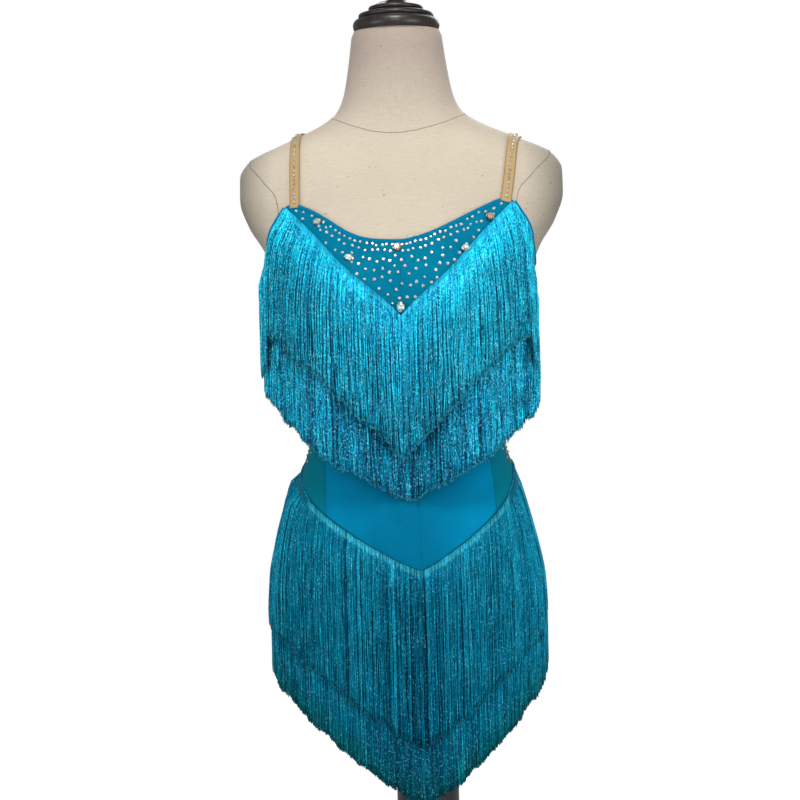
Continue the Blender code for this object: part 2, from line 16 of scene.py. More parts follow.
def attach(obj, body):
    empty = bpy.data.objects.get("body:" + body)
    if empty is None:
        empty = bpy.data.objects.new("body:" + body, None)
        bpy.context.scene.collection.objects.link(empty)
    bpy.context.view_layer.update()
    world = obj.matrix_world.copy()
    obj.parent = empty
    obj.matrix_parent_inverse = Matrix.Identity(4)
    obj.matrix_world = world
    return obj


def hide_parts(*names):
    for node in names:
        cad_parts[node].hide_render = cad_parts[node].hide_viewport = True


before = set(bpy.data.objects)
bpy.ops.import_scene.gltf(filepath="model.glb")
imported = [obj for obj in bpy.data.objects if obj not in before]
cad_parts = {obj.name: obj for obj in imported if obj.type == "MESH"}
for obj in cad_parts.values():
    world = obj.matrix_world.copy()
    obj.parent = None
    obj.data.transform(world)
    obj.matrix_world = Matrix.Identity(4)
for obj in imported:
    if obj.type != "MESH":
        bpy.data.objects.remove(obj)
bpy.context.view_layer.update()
seeded = np.random.default_rng(20)

# Stand and form
WAIST_HEIGHT = 0.750
POLE_RADIUS = 0.036
POLE_ASIDE = 0.014
BASE_RADIUS = 0.190
BASE_THICKNESS = 0.022
CLEAR = 0.0003

# Cloth, measured out from the form's surface
CLOTH_GAP = 0.0016
CLOTH_WALL = 0.0011
BUST_EASE = 0.0008
CLOTH_OUTSIDE = CLOTH_GAP + CLOTH_WALL
SEAM_TURN = math.radians(0.03)
SEAM_DROP = 0.0002
# Slanted waves, as lengths across and along
FOLD_WAVES = (0.050, 0.031), (0.083, -0.024), (0.037, 0.060)

# Fringe
TAPE_HEIGHT = 0.010
TAPE_WALL = 0.0010
TAPE_INSIDE = CLOTH_OUTSIDE + 0.0011
TAPE_OUTSIDE = TAPE_INSIDE + TAPE_WALL
UNDER_LIFT = 0.0056
OVER_LIFT = 0.0094
SKIRT_OVER_LIFT = 0.0082
LIFT_RUN = 0.026
ARMHOLE_LIFT_RUN = 0.046
ARMHOLE_SINK = 0.0018
# Painted shade at the centre front of every tier, and how wide it spreads
CENTRE_SHADE = 0.33
CENTRE_SPREAD = math.radians(24)
FAN_RUN = 0.050
FAN_POWER = 7
FAN_FADE = 0.10
FORWARD = np.array([0.0, -1.6, 0.0])
FORWARD_TO = math.radians(72)
FORWARD_FADE = math.radians(22)
STRAND_RADIUS = 0.00066
STRAND_PITCH = 0.00145
STRAND_STEPS = 20
STRAND_SIDES = 3
# Where a depth's row starts, as a share of the pitch
LAYER_OFFSETS = {-1: 0.5, 0: 0.0, 1: 0.33, 2: 0.17}
WANDER_WAVES = (0.013, 0.110), (0.021, -0.160), (0.034, 0.230), (0.055, -0.300), (0.0085, 0.190)
HEM_WAVES = (0.012, 1.0), (0.023, 1.0), (0.041, 1.0), (0.009, 1.0)
STEP_WAVES = (0.031, 1.0), (0.047, 1.0), (0.070, 1.0)
PARTING_RUN = 0.060
PARTING_REACH = 0.0045
# Painted shade taken off the tone of the strands in a parting's gap
PARTING_SHADE = 0.45
# (degrees, half the width) of the places where the outer strands part
BUST_PARTINGS = (-52.0, 0.0006), (3.0, 0.0010), (38.0, 0.0006)
SKIRT_PARTINGS = (
    (-41.0, 0.0012), (-19.0, 0.0005), (-6.0, 0.0007), (1.2, 0.0010), (26.0, 0.0006), (47.0, 0.0008),
)
Side = namedtuple("Side", "lack fan flare")
Tier = namedtuple("Tier", "length lift tone spread sway right left partings", defaults=((),))
# A tier's tone sets how bright its strands are: the bust tiers' higher tones are painted light, and the
# skirt's and the under tiers' lower tones painted shade.
BUST_OVER = Tier(
    0.146, OVER_LIFT, 0.83, 0.17, 1.0, Side(0.06, 0.95, 0.017), Side(0.07, 0.55, 0.008)
)
BUST_UNDER = Tier(
    0.146, UNDER_LIFT, 0.62, 0.17, 1.0, Side(0.18, 0.0, 0.014), Side(0.055, 0.0, 0.006), BUST_PARTINGS
)
SKIRT_OVER = Tier(
    0.184, SKIRT_OVER_LIFT, 0.39, 0.12, 0.45, Side(0.08, 0.0, 0.004), Side(0.08, 0.0, -0.0042),
    SKIRT_PARTINGS,
)
SKIRT_UNDER = Tier(
    0.2005, UNDER_LIFT, 0.36, 0.12, 0.45, Side(0.092, 0.0, 0.004), Side(0.085, 0.0, -0.0020)
)

# The dress's lines, as heights above the floor
NECKLINE_LOW = 0.9875
NECKLINE_SAG = 0.0060
STRAP_SEAT = 1.030
UNDERARM = 0.962
SCOOP_DROP = 0.085
YOKE_POINT = 0.907
BUST_POINT = 0.858
SKIRT_POINT = 0.627
SKIRT_SIDE = 0.736
SKIRT_BACK = 0.674
SKIRT_HEM = 0.530
STRAP_WIDTH = 0.012

# The form from its underside to its neck top: height above the waist, half width, depth to the front,
# depth to the back, power
SECTIONS = np.array([
    (-0.238, 0.1430, 0.0880, 0.1040, 2.30),
    (-0.220, 0.1490, 0.0930, 0.1100, 2.30),
    (-0.184, 0.1515, 0.0980, 0.1160, 2.25),
    (-0.150, 0.1500, 0.1000, 0.1170, 2.20),
    (-0.109, 0.1425, 0.0990, 0.1100, 2.20),
    (-0.060, 0.1295, 0.0930, 0.0940, 2.15),
    (-0.016, 0.1170, 0.0855, 0.0815, 2.10),
    (0.008, 0.1100, 0.0830, 0.0780, 2.10),
    (0.050, 0.1140, 0.0820, 0.0800, 2.10),
    (0.100, 0.1260, 0.0860, 0.0880, 2.10),
    (0.150, 0.1380, 0.0920, 0.0950, 2.15),
    (0.200, 0.1460, 0.0940, 0.1000, 2.20),
    (0.230, 0.1570, 0.0880, 0.1010, 2.30),
    (0.260, 0.1750, 0.0780, 0.0980, 2.40),
    (0.290, 0.1845, 0.0700, 0.0920, 2.40),
    (0.316, 0.1840, 0.0620, 0.0850, 2.40),
    (0.334, 0.1730, 0.0570, 0.0790, 2.30),
    (0.354, 0.1310, 0.0530, 0.0740, 2.20),
    (0.372, 0.0900, 0.0510, 0.0700, 2.10),
    (0.386, 0.0710, 0.0500, 0.0660, 2.00),
    (0.406, 0.0620, 0.0490, 0.0620, 2.00),
    (0.440, 0.0555, 0.0475, 0.0580, 2.00),
    (0.4765, 0.0505, 0.0450, 0.0530, 2.00),
])
SECTION_HEIGHTS = WAIST_HEIGHT + SECTIONS[:, 0]
FORM_BOTTOM, FORM_TOP = SECTION_HEIGHTS[0], SECTION_HEIGHTS[-1]
Mound = namedtuple("Mound", "turn rise proud spread above below")
BUST = Mound(math.radians(33), 0.155, 0.030, math.radians(27), 0.060, 0.045)
QUARTER = math.pi / 2
SIDE_SEAM = math.radians(86)
YOKE_END = math.radians(64)
ARMHOLE_END = math.radians(74)
EDGE_DROP = 0.0030
# (height, degrees from the front)
CENTRE_FRONT = (0.627, 12.0), (0.710, 11.5), (0.860, 6.0), (0.907, 4.0), (1.030, 3.0)
PRINCESS_SEAM = (0.660, 51.0), (0.745, 60.0), (0.850, 59.0), (1.000, 69.0)
Strap = namedtuple("Strap", "name seat_x shoulder_x back_x")
STRAPS = Strap("strap_left", 0.1205, 0.133, 0.080), Strap("strap_right", -0.1120, -0.114, -0.080)
# Tones of the crystal's ramp that a stone's facets are dealt from, each facet's colour a painted reflection
SILVER = (0.02, 0.08, 0.14, 0.22, 0.30, 0.36, 0.38, 0.38, 0.90, 1.00)
PINKISH = (0.02, 0.14, 0.22, 0.26, 0.34, 0.38, 0.44, 0.38, 0.90, 1.00)
AMBER = (0.02, 0.02, 0.14, 0.26, 0.38, 0.56, 0.62, 0.68, 0.72, 0.80)
GREENISH = (0.02, 0.14, 0.26, 0.38, 0.38, 0.78, 0.80, 0.82, 0.90, 1.00)
Stone = namedtuple("Stone", "degrees height half_width half_height slant seat tones")
ON_YOKE = CLOTH_OUTSIDE + 0.0006
ON_TAPE = TAPE_OUTSIDE + 0.0006
STONES = (
    Stone(-49.8, 1.0100, 0.0052, 0.0040, 25, ON_YOKE, GREENISH),
    Stone(-26.9, 0.9683, 0.0062, 0.0042, -12, ON_YOKE, SILVER),
    Stone(1.7, 0.9790, 0.0050, 0.0050, 0, ON_YOKE, AMBER),
    Stone(4.1, 0.9147, 0.0047, 0.0062, 0, ON_TAPE, GREENISH),
    Stone(40.9, 0.9750, 0.0056, 0.0042, 12, ON_TAPE, SILVER),
    Stone(56.2, 1.0100, 0.0050, 0.0042, -20, ON_TAPE, AMBER),
)
# The yoke's radius and its turn on the form, about, for the spacing of its small stones
YOKE_RADIUS = 0.115
YOKE_TURN = 0.06


# The form's surface


def monotone_slopes(heights, values):
    steps = np.diff(heights)
    rates = np.diff(values) / steps
    slopes = np.zeros(len(values))
    slopes[0], slopes[-1] = rates[0], rates[-1]
    for i in range(1, len(values) - 1):
        if rates[i - 1] * rates[i] > 0:
            before, after = 2 * steps[i] + steps[i - 1], steps[i] + 2 * steps[i - 1]
            slopes[i] = (before + after) / (before / rates[i - 1] + after / rates[i])
    return slopes


SECTION_SLOPES = np.stack([monotone_slopes(SECTION_HEIGHTS, column) for column in SECTIONS[:, 1:].T], 1)


def section_at(height):
    """(half width, front depth, back depth, power) of the form at these heights."""
    height = np.clip(height, FORM_BOTTOM, FORM_TOP)
    i = np.clip(np.searchsorted(SECTION_HEIGHTS, height, side="right") - 1, 0, len(SECTIONS) - 2)
    span = SECTION_HEIGHTS[i + 1] - SECTION_HEIGHTS[i]
    s = (height - SECTION_HEIGHTS[i]) / span
    return [
        (2 * s**3 - 3 * s**2 + 1) * values[i]
        + (s**3 - 2 * s**2 + s) * (slopes[i] * span)
        + (3 * s**2 - 2 * s**3) * values[i + 1]
        + (s**3 - s**2) * (slopes[i + 1] * span)
        for values, slopes in zip(SECTIONS[:, 1:].T, SECTION_SLOPES.T)
    ]


def form_radius(turn, height, proud=BUST.proud):
    """How far the form's surface is from its upright axis."""
    turn, height = np.broadcast_arrays(np.asarray(turn, float), np.asarray(height, float))
    half_width, front, back, power = section_at(height)
    depth = np.where(np.cos(turn) > 0, front, back)
    across = (np.abs(np.sin(turn)) / half_width) ** power
    along = (np.abs(np.cos(turn)) / depth) ** power
    radius = (across + along) ** (-1 / power)
    above_bust = height - (WAIST_HEIGHT + BUST.rise)
    fade = np.exp(-((above_bust / np.where(above_bust > 0, BUST.above, BUST.below)) ** 2))
    for side in (-1, 1):
        off = (turn - side * BUST.turn + math.pi) % math.tau - math.pi
        radius = radius + proud * fade * np.exp(-((off / BUST.spread) ** 2))
    return radius


def unit(vectors):
    return vectors / np.maximum(np.linalg.norm(vectors, axis=-1, keepdims=True), 1e-12)


def on_axis(turn, height, radius):
    return np.stack([radius * np.sin(turn), -radius * np.cos(turn), height + 0 * radius], -1)


def form_normal(turn, height):
    """Outward unit normal of the form's surface, from two small steps on it."""
    step = 1e-4

    def at(t, z):
        return on_axis(t, z, form_radius(t, z))

    across = at(turn + step, height) - at(turn - step, height)
    up = at(turn, height + step) - at(turn, height - step)
    return unit(np.cross(across, up))


def form_point(turn, height, lift=0.0):
    """Points on the form's surface, moved out along its normal."""
    turn, height = np.broadcast_arrays(np.asarray(turn, float), np.asarray(height, float))
    lift = np.asarray(lift, float)[..., None]
    return on_axis(turn, height, form_radius(turn, height)) + lift * form_normal(turn, height)


def clearance(points):
    """(distance out from the form's surface, outward normal there) of points near it."""
    turn = np.arctan2(points[..., 0], -points[..., 1])
    height = np.clip(points[..., 2], FORM_BOTTOM + 0.001, FORM_TOP - 0.001)
    normal = form_normal(turn, height)
    radial = on_axis(turn, 0 * height, np.ones_like(turn))
    beyond = np.hypot(points[..., 0], points[..., 1]) - form_radius(turn, height)
    return beyond * (normal * radial).sum(-1), normal


# The dress's lines on the form


def worn_turn(angle, height):
    """The dress's own angle, as a turn on the form."""
    shift = np.radians(np.interp(height, *zip(*CENTRE_FRONT)))
    from_front = np.abs((angle + math.pi) % math.tau - math.pi)
    return angle + shift * np.clip(1 - from_front / QUARTER, 0, 1)


def along_form(angles, heights, lift):
    """Points and normals along a line of the dress."""
    turns = worn_turn(angles, heights)
    return form_point(turns, heights, lift), form_normal(turns, heights)


def upright(angle):
    """A seam that stays at one angle."""
    return lambda height: angle + 0 * height


def princess_left(height):
    return np.radians(np.interp(height, *zip(*PRINCESS_SEAM)))


def princess_right(height):
    return -princess_left(height)


CENTRE, SIDE_LEFT, SIDE_RIGHT = upright(0), upright(SIDE_SEAM), upright(-SIDE_SEAM)


def top_edge(angle):
    """The dress's upper edge; the neckline sags a little on the wearer's right."""
    signed = (np.degrees(angle) + 180) % 360 - 180
    angle = np.abs(signed)
    share = np.minimum(angle, 60) / 60
    sag = np.where(signed < 0, NECKLINE_SAG * np.sin(math.pi * share) ** 2, 0)
    neckline = NECKLINE_LOW + (STRAP_SEAT - NECKLINE_LOW) * share**1.7 - sag
    armhole = UNDERARM + (STRAP_SEAT - UNDERARM) * (np.clip(90 - angle, 0, 25) / 25) ** 2.2
    scoop = UNDERARM - SCOOP_DROP * (1 - (np.minimum(180 - angle, 38) / 38) ** 2)
    return np.where(angle < 60, neckline, np.where(angle < 90, armhole, scoop))


def yoke_seam(angle):
    share = np.abs(angle) / YOKE_END
    return YOKE_POINT + 0.109 * share + 0.011 * share**6


def upper_seam(angle):
    """The yoke's V and, past the straps, a stretch of the armhole's edge."""
    past = np.clip((np.abs(angle) - YOKE_END) / (ARMHOLE_END - YOKE_END), 0, 1)
    armhole = top_edge(angle) - EDGE_DROP * (1 - 0.4 * past)
    return np.where(np.abs(angle) < YOKE_END, yoke_seam(angle), armhole)


def bust_seam(angle):
    return BUST_POINT + 0.097 * np.abs(angle) / QUARTER


def skirt_seam(angle):
    angle = np.abs((angle + math.pi) % math.tau - math.pi)
    front = SKIRT_POINT + (SKIRT_SIDE - SKIRT_POINT) * (angle / QUARTER) ** 1.2
    back = SKIRT_SIDE - (SKIRT_SIDE - SKIRT_BACK) * (np.maximum(angle - QUARTER, 0) / QUARTER) ** 1.2
    return np.where(angle < QUARTER, front, back)


def lower_skirt_seam(angle):
    return skirt_seam(angle) - 0.040 - 0.010 * np.cos(angle) ** 2


# Materials


class Finish:
    """A procedural material, the nodes that feed its Principled shader and the name of its slot."""

    def __init__(self, name, slot, colour, **levels):
        self.slot, self.material = slot, bpy.data.materials.new(name)
        self.material.use_nodes = True
        self.material.diffuse_color = (*colour, 1)
        self.tree = self.material.node_tree
        self.shader = self.tree.nodes["Principled BSDF"]
        self.feed(self.shader, {"Base Color": (*colour, 1)})
        self.feed(self.shader, {level.replace("_", " "): value for level, value in levels.items()})
        self.place = self.node("TexCoord").outputs["Object"]

    def feed(self, node, inputs):
        """Sets a node's sockets, each to a value or to another node's output."""
        for socket, value in inputs.items():
            if isinstance(value, bpy.types.NodeSocket):
                self.tree.links.new(value, node.inputs[socket])
            else:
                node.inputs[socket].default_value = value

    def node(self, kind, inputs=(), **settings):
        added = self.tree.nodes.new("ShaderNode" + kind)
        for key, value in settings.items():
            setattr(added, key, value)
        self.feed(added, dict(inputs))
        return added

    def map(self, layer):
        return self.node("UVMap", uv_map=layer).outputs["UV"]

    def axis(self, name, vector=None):
        return self.node("SeparateXYZ", {0: vector or self.place}).outputs[name]

    def ramp(self, factor, *stops):
        """A colour ramp through (place, colour) stops; a single number is a grey."""
        added = self.node("ValToRGB", {"Fac": factor})
        elements = added.color_ramp.elements
        while len(elements) < len(stops):
            elements.new(0.5)
        for element, (place, colour) in zip(elements, stops):
            element.position = place
            element.color = (*np.broadcast_to(colour, 3), 1)
        return added.outputs["Color"]

    def noise(self, vector, scale, detail=2.0, roughness=0.5):
        """Smooth noise; a scale of three numbers stretches it."""
        if isinstance(scale, tuple):
            vector, scale = self.node("Mapping", {"Vector": vector, "Scale": scale}).outputs["Vector"], 1.0
        inputs = {"Vector": vector, "Scale": scale, "Detail": detail, "Roughness": roughness}
        return self.node("TexNoise", inputs).outputs["Fac"]

    def bands(self, vector, pitch, direction="X", distortion=0.0):
        inputs = {"Vector": vector, "Scale": 1 / pitch / math.tau * 2, "Distortion": distortion}
        return self.node("TexWave", inputs, wave_type="BANDS", bands_direction=direction).outputs["Fac"]

    def maths(self, operation, first, second=0.5):
        return self.node("Math", {0: first, 1: second}, operation=operation).outputs["Value"]

    def blend(self, first, share, second, other):
        """The sum of two values, each times its share."""
        return self.maths("ADD", self.maths("MULTIPLY", first, share), self.maths("MULTIPLY", second, other))

    def mixed(self, factor, first, second, way="MIX"):
        inputs = {0: factor, 6: first, 7: second}
        return self.node("Mix", inputs, data_type="RGBA", blend_type=way).outputs[2]

    def times(self, first, second):
        return self.mixed(1.0, first, second, "MULTIPLY")

    def wear(self, colour, relief=None, distance=0.0, strength=0.0):
        """Gives the shader its colour and its relief."""
        self.feed(self.shader, {"Base Color": colour})
        if relief:
            added = self.node("Bump", {"Height": relief, "Distance": distance, "Strength": strength})
            self.feed(self.shader, {"Normal": added.outputs["Normal"]})
        return self


def knit(name, dark, light):
    """Fine stretch knit: upright wales, level courses and a soft unevenness of colour, with painted light on
    the sides below the yoke and painted shade, most below 0.80 m."""
    made = Finish(name, name, light, Roughness=0.60, Specular_IOR_Level=0.02)
    cloth, wale = made.map("cloth"), 0.0007
    wales, courses = made.bands(cloth, wale, "X", 0.6), made.bands(cloth, wale / 1.3, "Y", 0.6)
    loops = made.maths("MULTIPLY", wales, courses)
    uneven = made.noise(made.place, 26.0, 3.0, 0.6)
    colour = made.ramp(made.blend(loops, 0.35, uneven, 0.9), (0.25, dark), (0.80, light))
    # Painted light: below the yoke the sides grow up to about half again lighter than the middle.
    painted_side_light = made.ramp(made.maths("ABSOLUTE", made.axis("X")), (0.030, 1.0), (0.085, 1.48))
    below = made.ramp(made.axis("Z"), (0.86, 1.0), (0.90, 0.0))
    colour = made.mixed(below, colour, made.times(colour, painted_side_light))
    # Painted shade: darker by about a sixth below 0.80 m, and a little darker and less blue over the yoke
    # from 0.88 m.
    shaded = made.ramp(made.axis("Z"), (0.80, 0.84), (0.88, (0.90, 0.90, 0.80)))
    return made.wear(made.times(colour, shaded), loops, 0.00012, 0.6)


def net(name, thread, hole, pitch):
    """Fine stretch net: two slanted sets of threads over what is below them."""
    made = Finish(name, name, thread, Roughness=0.6, Specular_IOR_Level=0.04)
    cloth, slant = made.map("cloth"), math.radians(35)
    slanted = (made.node("Mapping", {"Vector": cloth, "Rotation": (0, 0, way)}) for way in (slant, -slant))
    threads = made.maths("MAXIMUM", *(made.bands(turned.outputs["Vector"], pitch) for turned in slanted))
    uneven = made.noise(made.place, 34.0, 3.0, 0.6)
    colour = made.ramp(made.blend(threads, 0.7, uneven, 0.3), (0.30, hole), (0.75, thread))
    return made.wear(colour, threads, 0.00015, 0.6)


def fringe(name, dark, middle, light, painted_glint, twist_shading, root_light, header, tips, fade, shine):
    """Glossy twisted rayon: each strand has its own tone; the twist has painted highlights and shade as
    short bright and dark grains, with painted glints as bright specks. A painted highlight lies where the
    strands bend off their tape and on some cut tips, and fade sets the shades down the length. Map strand
    holds the place along the tape and down the strand in millimetres; map tone holds its own tone and its
    share of the length."""
    made = Finish(name, "fringe", middle, Roughness=0.38, Metallic=0.40, Specular_IOR_Level=shine)
    strand, tone = made.map("strand"), made.map("tone")
    own, down = made.axis("X", tone), made.axis("Y", tone)
    colour = made.ramp(own, (0.0, dark), (0.40, middle), (0.90, light))
    specks = made.noise(strand, (1.15, 0.40, 1.0), 1.0)
    streaks = made.noise(strand, (1.60, 0.045, 1.0), 1.0)
    grain = made.blend(specks, 0.60, streaks, 0.40)
    # Painted highlights and shade of the twist, as short bright and dark grains.
    colour = made.times(colour, made.ramp(grain, *zip((0.39, 0.49, 0.59), twist_shading)))
    # Shades down the length from fade: painted light and shade on most tiers, darker and greener tips on the
    # lowest hem.
    colour = made.times(colour, made.ramp(down, *fade))
    # Painted glints: bright specks of the glint colour.
    colour = made.mixed(made.ramp(specks, (0.62, 0.0), (0.68, 0.65)), colour, (*painted_glint, 1))
    # Painted highlight where the strands bend off their tape, brighter on the lighter strands, with a ragged
    # lower edge.
    root_highlight = made.times((*root_light, 1), made.ramp(own, (0.18, 0.30), (0.48, 1.15)))
    ragged = made.blend(down, 1.0, streaks, 0.060)
    colour = made.mixed(made.ramp(ragged, (0.060, header), (0.074, 0.0)), colour, root_highlight)
    # Painted highlight on some of the cut tips.
    lit = made.ramp(down, (0.980, 0.0), (0.988, tips))
    lit = made.maths("MULTIPLY", lit, made.ramp(specks, (0.46, 0.0), (0.54, 1.0)))
    return made.wear(made.mixed(lit, colour, (*TIP_HIGHLIGHT, 1)), grain, 0.0006, 0.8)


def linen(name, light, dark, fleck):
    """Unbleached linen: thick and thin threads both ways and a few darker flecks, with painted shade on the
    neck and on the arm stubs."""
    made = Finish(name, name, light, Roughness=0.9, Sheen_Weight=0.15)
    level = made.noise(made.place, (90, 90, 1500), 2.0, 0.6)
    across = made.noise(made.place, (1300, 1300, 70), 2.0, 0.6)
    weave = made.blend(level, 0.5, across, 0.5)
    cloudy = made.noise(made.place, 7.0, 3.0, 0.55)
    colour = made.ramp(made.blend(weave, 0.7, cloudy, 0.3), (0.33, dark), (0.60, light))
    spots = made.ramp(made.noise(made.place, (260, 260, 380), 1.0), (0.70, 0.0), (0.76, 1.0))
    rare = made.ramp(made.noise(made.place, 45.0, 1.0), (0.50, 0.0), (0.62, 1.0))
    spots = made.maths("MULTIPLY", made.maths("MULTIPLY", spots, rare), 0.65)
    colour = made.mixed(spots, colour, (*fleck, 1))
    # Painted shade: the neck grows darker above 1.10 m.
    above = made.maths("SUBTRACT", made.axis("Z"), 1.10)
    colour = made.times(colour, made.ramp(above, (0.0, 1.0), (0.10, (0.66, 0.62, 0.66))))
    # Painted shade: the arm stubs grow darker past 0.14 m from the middle.
    aside = made.maths("ABSOLUTE", made.axis("X"))
    colour = made.times(colour, made.ramp(aside, (0.140, 1.0), (0.185, (0.46, 0.47, 0.47))))
    return made.wear(colour, weave, 0.0003, 0.5)


def elastic(name, middle, edge):
    """Narrow knitted elastic: fine ribs along it and darker rolled edges."""
    made = Finish(name, name, middle, Roughness=0.55, Sheen_Weight=0.2)
    cloth = made.map("cloth")
    ribs = made.bands(cloth, 0.0012)
    off = made.maths("DIVIDE", made.maths("ABSOLUTE", made.axis("X", cloth)), STRAP_WIDTH / 2)
    colour = made.ramp(off, (0.0, middle), (0.72, middle), (1.0, edge))
    colour = made.mixed(made.maths("MULTIPLY", ribs, 0.25), colour, (*edge, 1))
    weave = made.noise(cloth, (300, 1400, 1))
    return made.wear(colour, made.maths("ADD", ribs, weave), 0.00015, 0.6)


def crystal(name, *stops):
    """Foiled cut crystal with a rainbow coating: map tone gives each facet a painted reflection, dark,
    silver, tinted or white.
    """
    made = Finish(
        name, name, (0.70, 0.72, 0.75), Roughness=0.16, Metallic=0.20, Coat_Weight=0.6, Coat_Roughness=0.03
    )
    return made.wear(made.ramp(made.axis("X", made.map("tone")), *stops))


def metal(name, slot, colour):
    made = Finish(name, slot, colour, Roughness=0.30, Metallic=1.0)
    worn = made.noise(made.place, 1400.0, 3.0)
    dull = tuple(0.6 * c for c in colour)
    return made.wear(made.ramp(worn, (0.35, dull), (0.65, colour)), worn, 0.00003, 0.5)


def wood(name, dark, light, roughness):
    """Dark lacquered turned wood: grain rings under a gloss coat, with faint handling marks."""
    made = Finish(name, name, dark, Coat_Weight=0.3, Coat_Roughness=0.22)
    grain = made.noise(made.place, (160, 160, 18), 4.0, 0.65)
    marks = made.noise(made.place, 120.0, 3.0)
    rubbed = made.ramp(marks, (0.40, roughness), (0.75, roughness + 0.14))
    made.feed(made.shader, {"Roughness": rubbed})
    return made.wear(made.ramp(grain, (0.35, dark), (0.70, light)), grain, 0.0002, 0.25)


def thread(name, slot, colour, light):
    made = Finish(name, slot, colour, Roughness=0.8, Specular_IOR_Level=0.05)
    fibres = made.noise(made.place, 2600.0, 3.0)
    return made.wear(made.ramp(fibres, (0.35, colour), (0.70, light)), fibres, 0.0001, 0.6)


# A fringe's dark, middle and light colours and the colour of its painted glints, its painted shading of the
# twist, and its shades down the length: painted light and shade, and on the lowest hem darker and greener
# tips
BUST_TEAL = (0.0, 0.090, 0.190), (0.0, 0.280, 0.500), (0.015, 0.720, 1.000), (0.400, 0.870, 0.950)
SKIRT_TEAL = (0.0, 0.095, 0.180), (0.0, 0.280, 0.465), (0.015, 0.700, 0.935), (0.170, 0.720, 0.820)
# Colour of the painted highlight on the cut tips
TIP_HIGHLIGHT = (0.11, 0.72, 1.0)
SOFT_TWIST_SHADING = (0.20, 0.28, 0.38), 0.82, 1.50
CRISP_TWIST_SHADING = (0.12, 0.19, 0.30), 0.78, 1.55
CALM_TWIST_SHADING = (0.42, 0.48, 0.56), 0.84, 1.20
BUST_LIGHT_DOWN = (0.10, 1.32), (0.45, 0.92), (0.90, 0.74)
EVEN_SHADE_DOWN = (0.30, 1.0), (0.90, 0.94)
HEM_FADE = (0.82, 1.0), (0.93, (0.84, 0.85, 0.70)), (0.985, (0.80, 0.82, 0.66))
# Colour of the painted highlight where the bust strands bend off their tape
BUST_ROOT_LIGHT = (0.03, 0.62, 0.90)
# The four fringes are one rayon: beside small changes of colour they differ in painted light and shade and
# in the strength of their painted highlights
FRINGE_BUST = fringe("fringe_bust", *BUST_TEAL, SOFT_TWIST_SHADING, BUST_ROOT_LIGHT, 0.60, 0.95, BUST_LIGHT_DOWN, 0.15)
FRINGE_UNDER = fringe("fringe_under", *BUST_TEAL, CRISP_TWIST_SHADING, BUST_ROOT_LIGHT, 0.60, 0.95, EVEN_SHADE_DOWN, 0.12)
FRINGE_SKIRT = fringe(
    "fringe_skirt", *SKIRT_TEAL, CALM_TWIST_SHADING, (0.06, 0.74, 1.00), 0.90, 0.22, EVEN_SHADE_DOWN, 0.08
)
FRINGE_HEM = fringe("fringe_hem", *SKIRT_TEAL, CALM_TWIST_SHADING, (0.04, 0.50, 0.70), 0.90, 0.10, HEM_FADE, 0.08)
TEAL_KNIT = knit("teal_knit", (0.0, 0.170, 0.325), (0.0, 0.230, 0.435))
TEAL_NET = net("teal_net", (0.0, 0.235, 0.330), (0.0, 0.140, 0.180), 0.0016)
SKIN_NET = net("skin_net", (0.560, 0.370, 0.210), (0.360, 0.225, 0.125), 0.0014)
SKIN_ELASTIC = elastic("skin_elastic", (0.490, 0.330, 0.138), (0.250, 0.140, 0.060))
LINEN = linen("linen", (0.615, 0.543, 0.432), (0.480, 0.418, 0.326), (0.120, 0.090, 0.060))
CRYSTAL = crystal(
    "crystal",
    (0.00, (0.02, 0.02, 0.03)),
    (0.14, (0.12, 0.13, 0.15)),
    (0.26, (0.50, 0.50, 0.52)),
    (0.38, (0.80, 0.90, 0.89)),
    (0.50, (0.78, 0.72, 0.73)),
    (0.60, (0.80, 0.60, 0.28)),
    (0.70, (0.36, 0.07, 0.06)),
    (0.80, (0.26, 0.32, 0.20)),
    (0.90, (0.40, 0.85, 0.95)),
    (1.00, (0.90, 1.00, 1.00)),
)
SETTING = metal("setting", "crystal", (0.16, 0.16, 0.17))
DARK_WOOD = wood("dark_wood", (0.008, 0.006, 0.006), (0.026, 0.017, 0.014), 0.42)
SEAM_THREAD = thread("seam_thread", "linen", (0.240, 0.200, 0.150), (0.330, 0.280, 0.210))
SEAM_TEAL = thread("seam_teal", "teal_knit", (0.0, 0.140, 0.270), (0.0, 0.190, 0.360))
TEAL_BINDING = thread("teal_binding", "teal_knit", (0.0, 0.150, 0.280), (0.0, 0.200, 0.370))
SKIN_BINDING = thread("skin_binding", "skin_net", (0.420, 0.270, 0.140), (0.560, 0.380, 0.210))


# Meshes


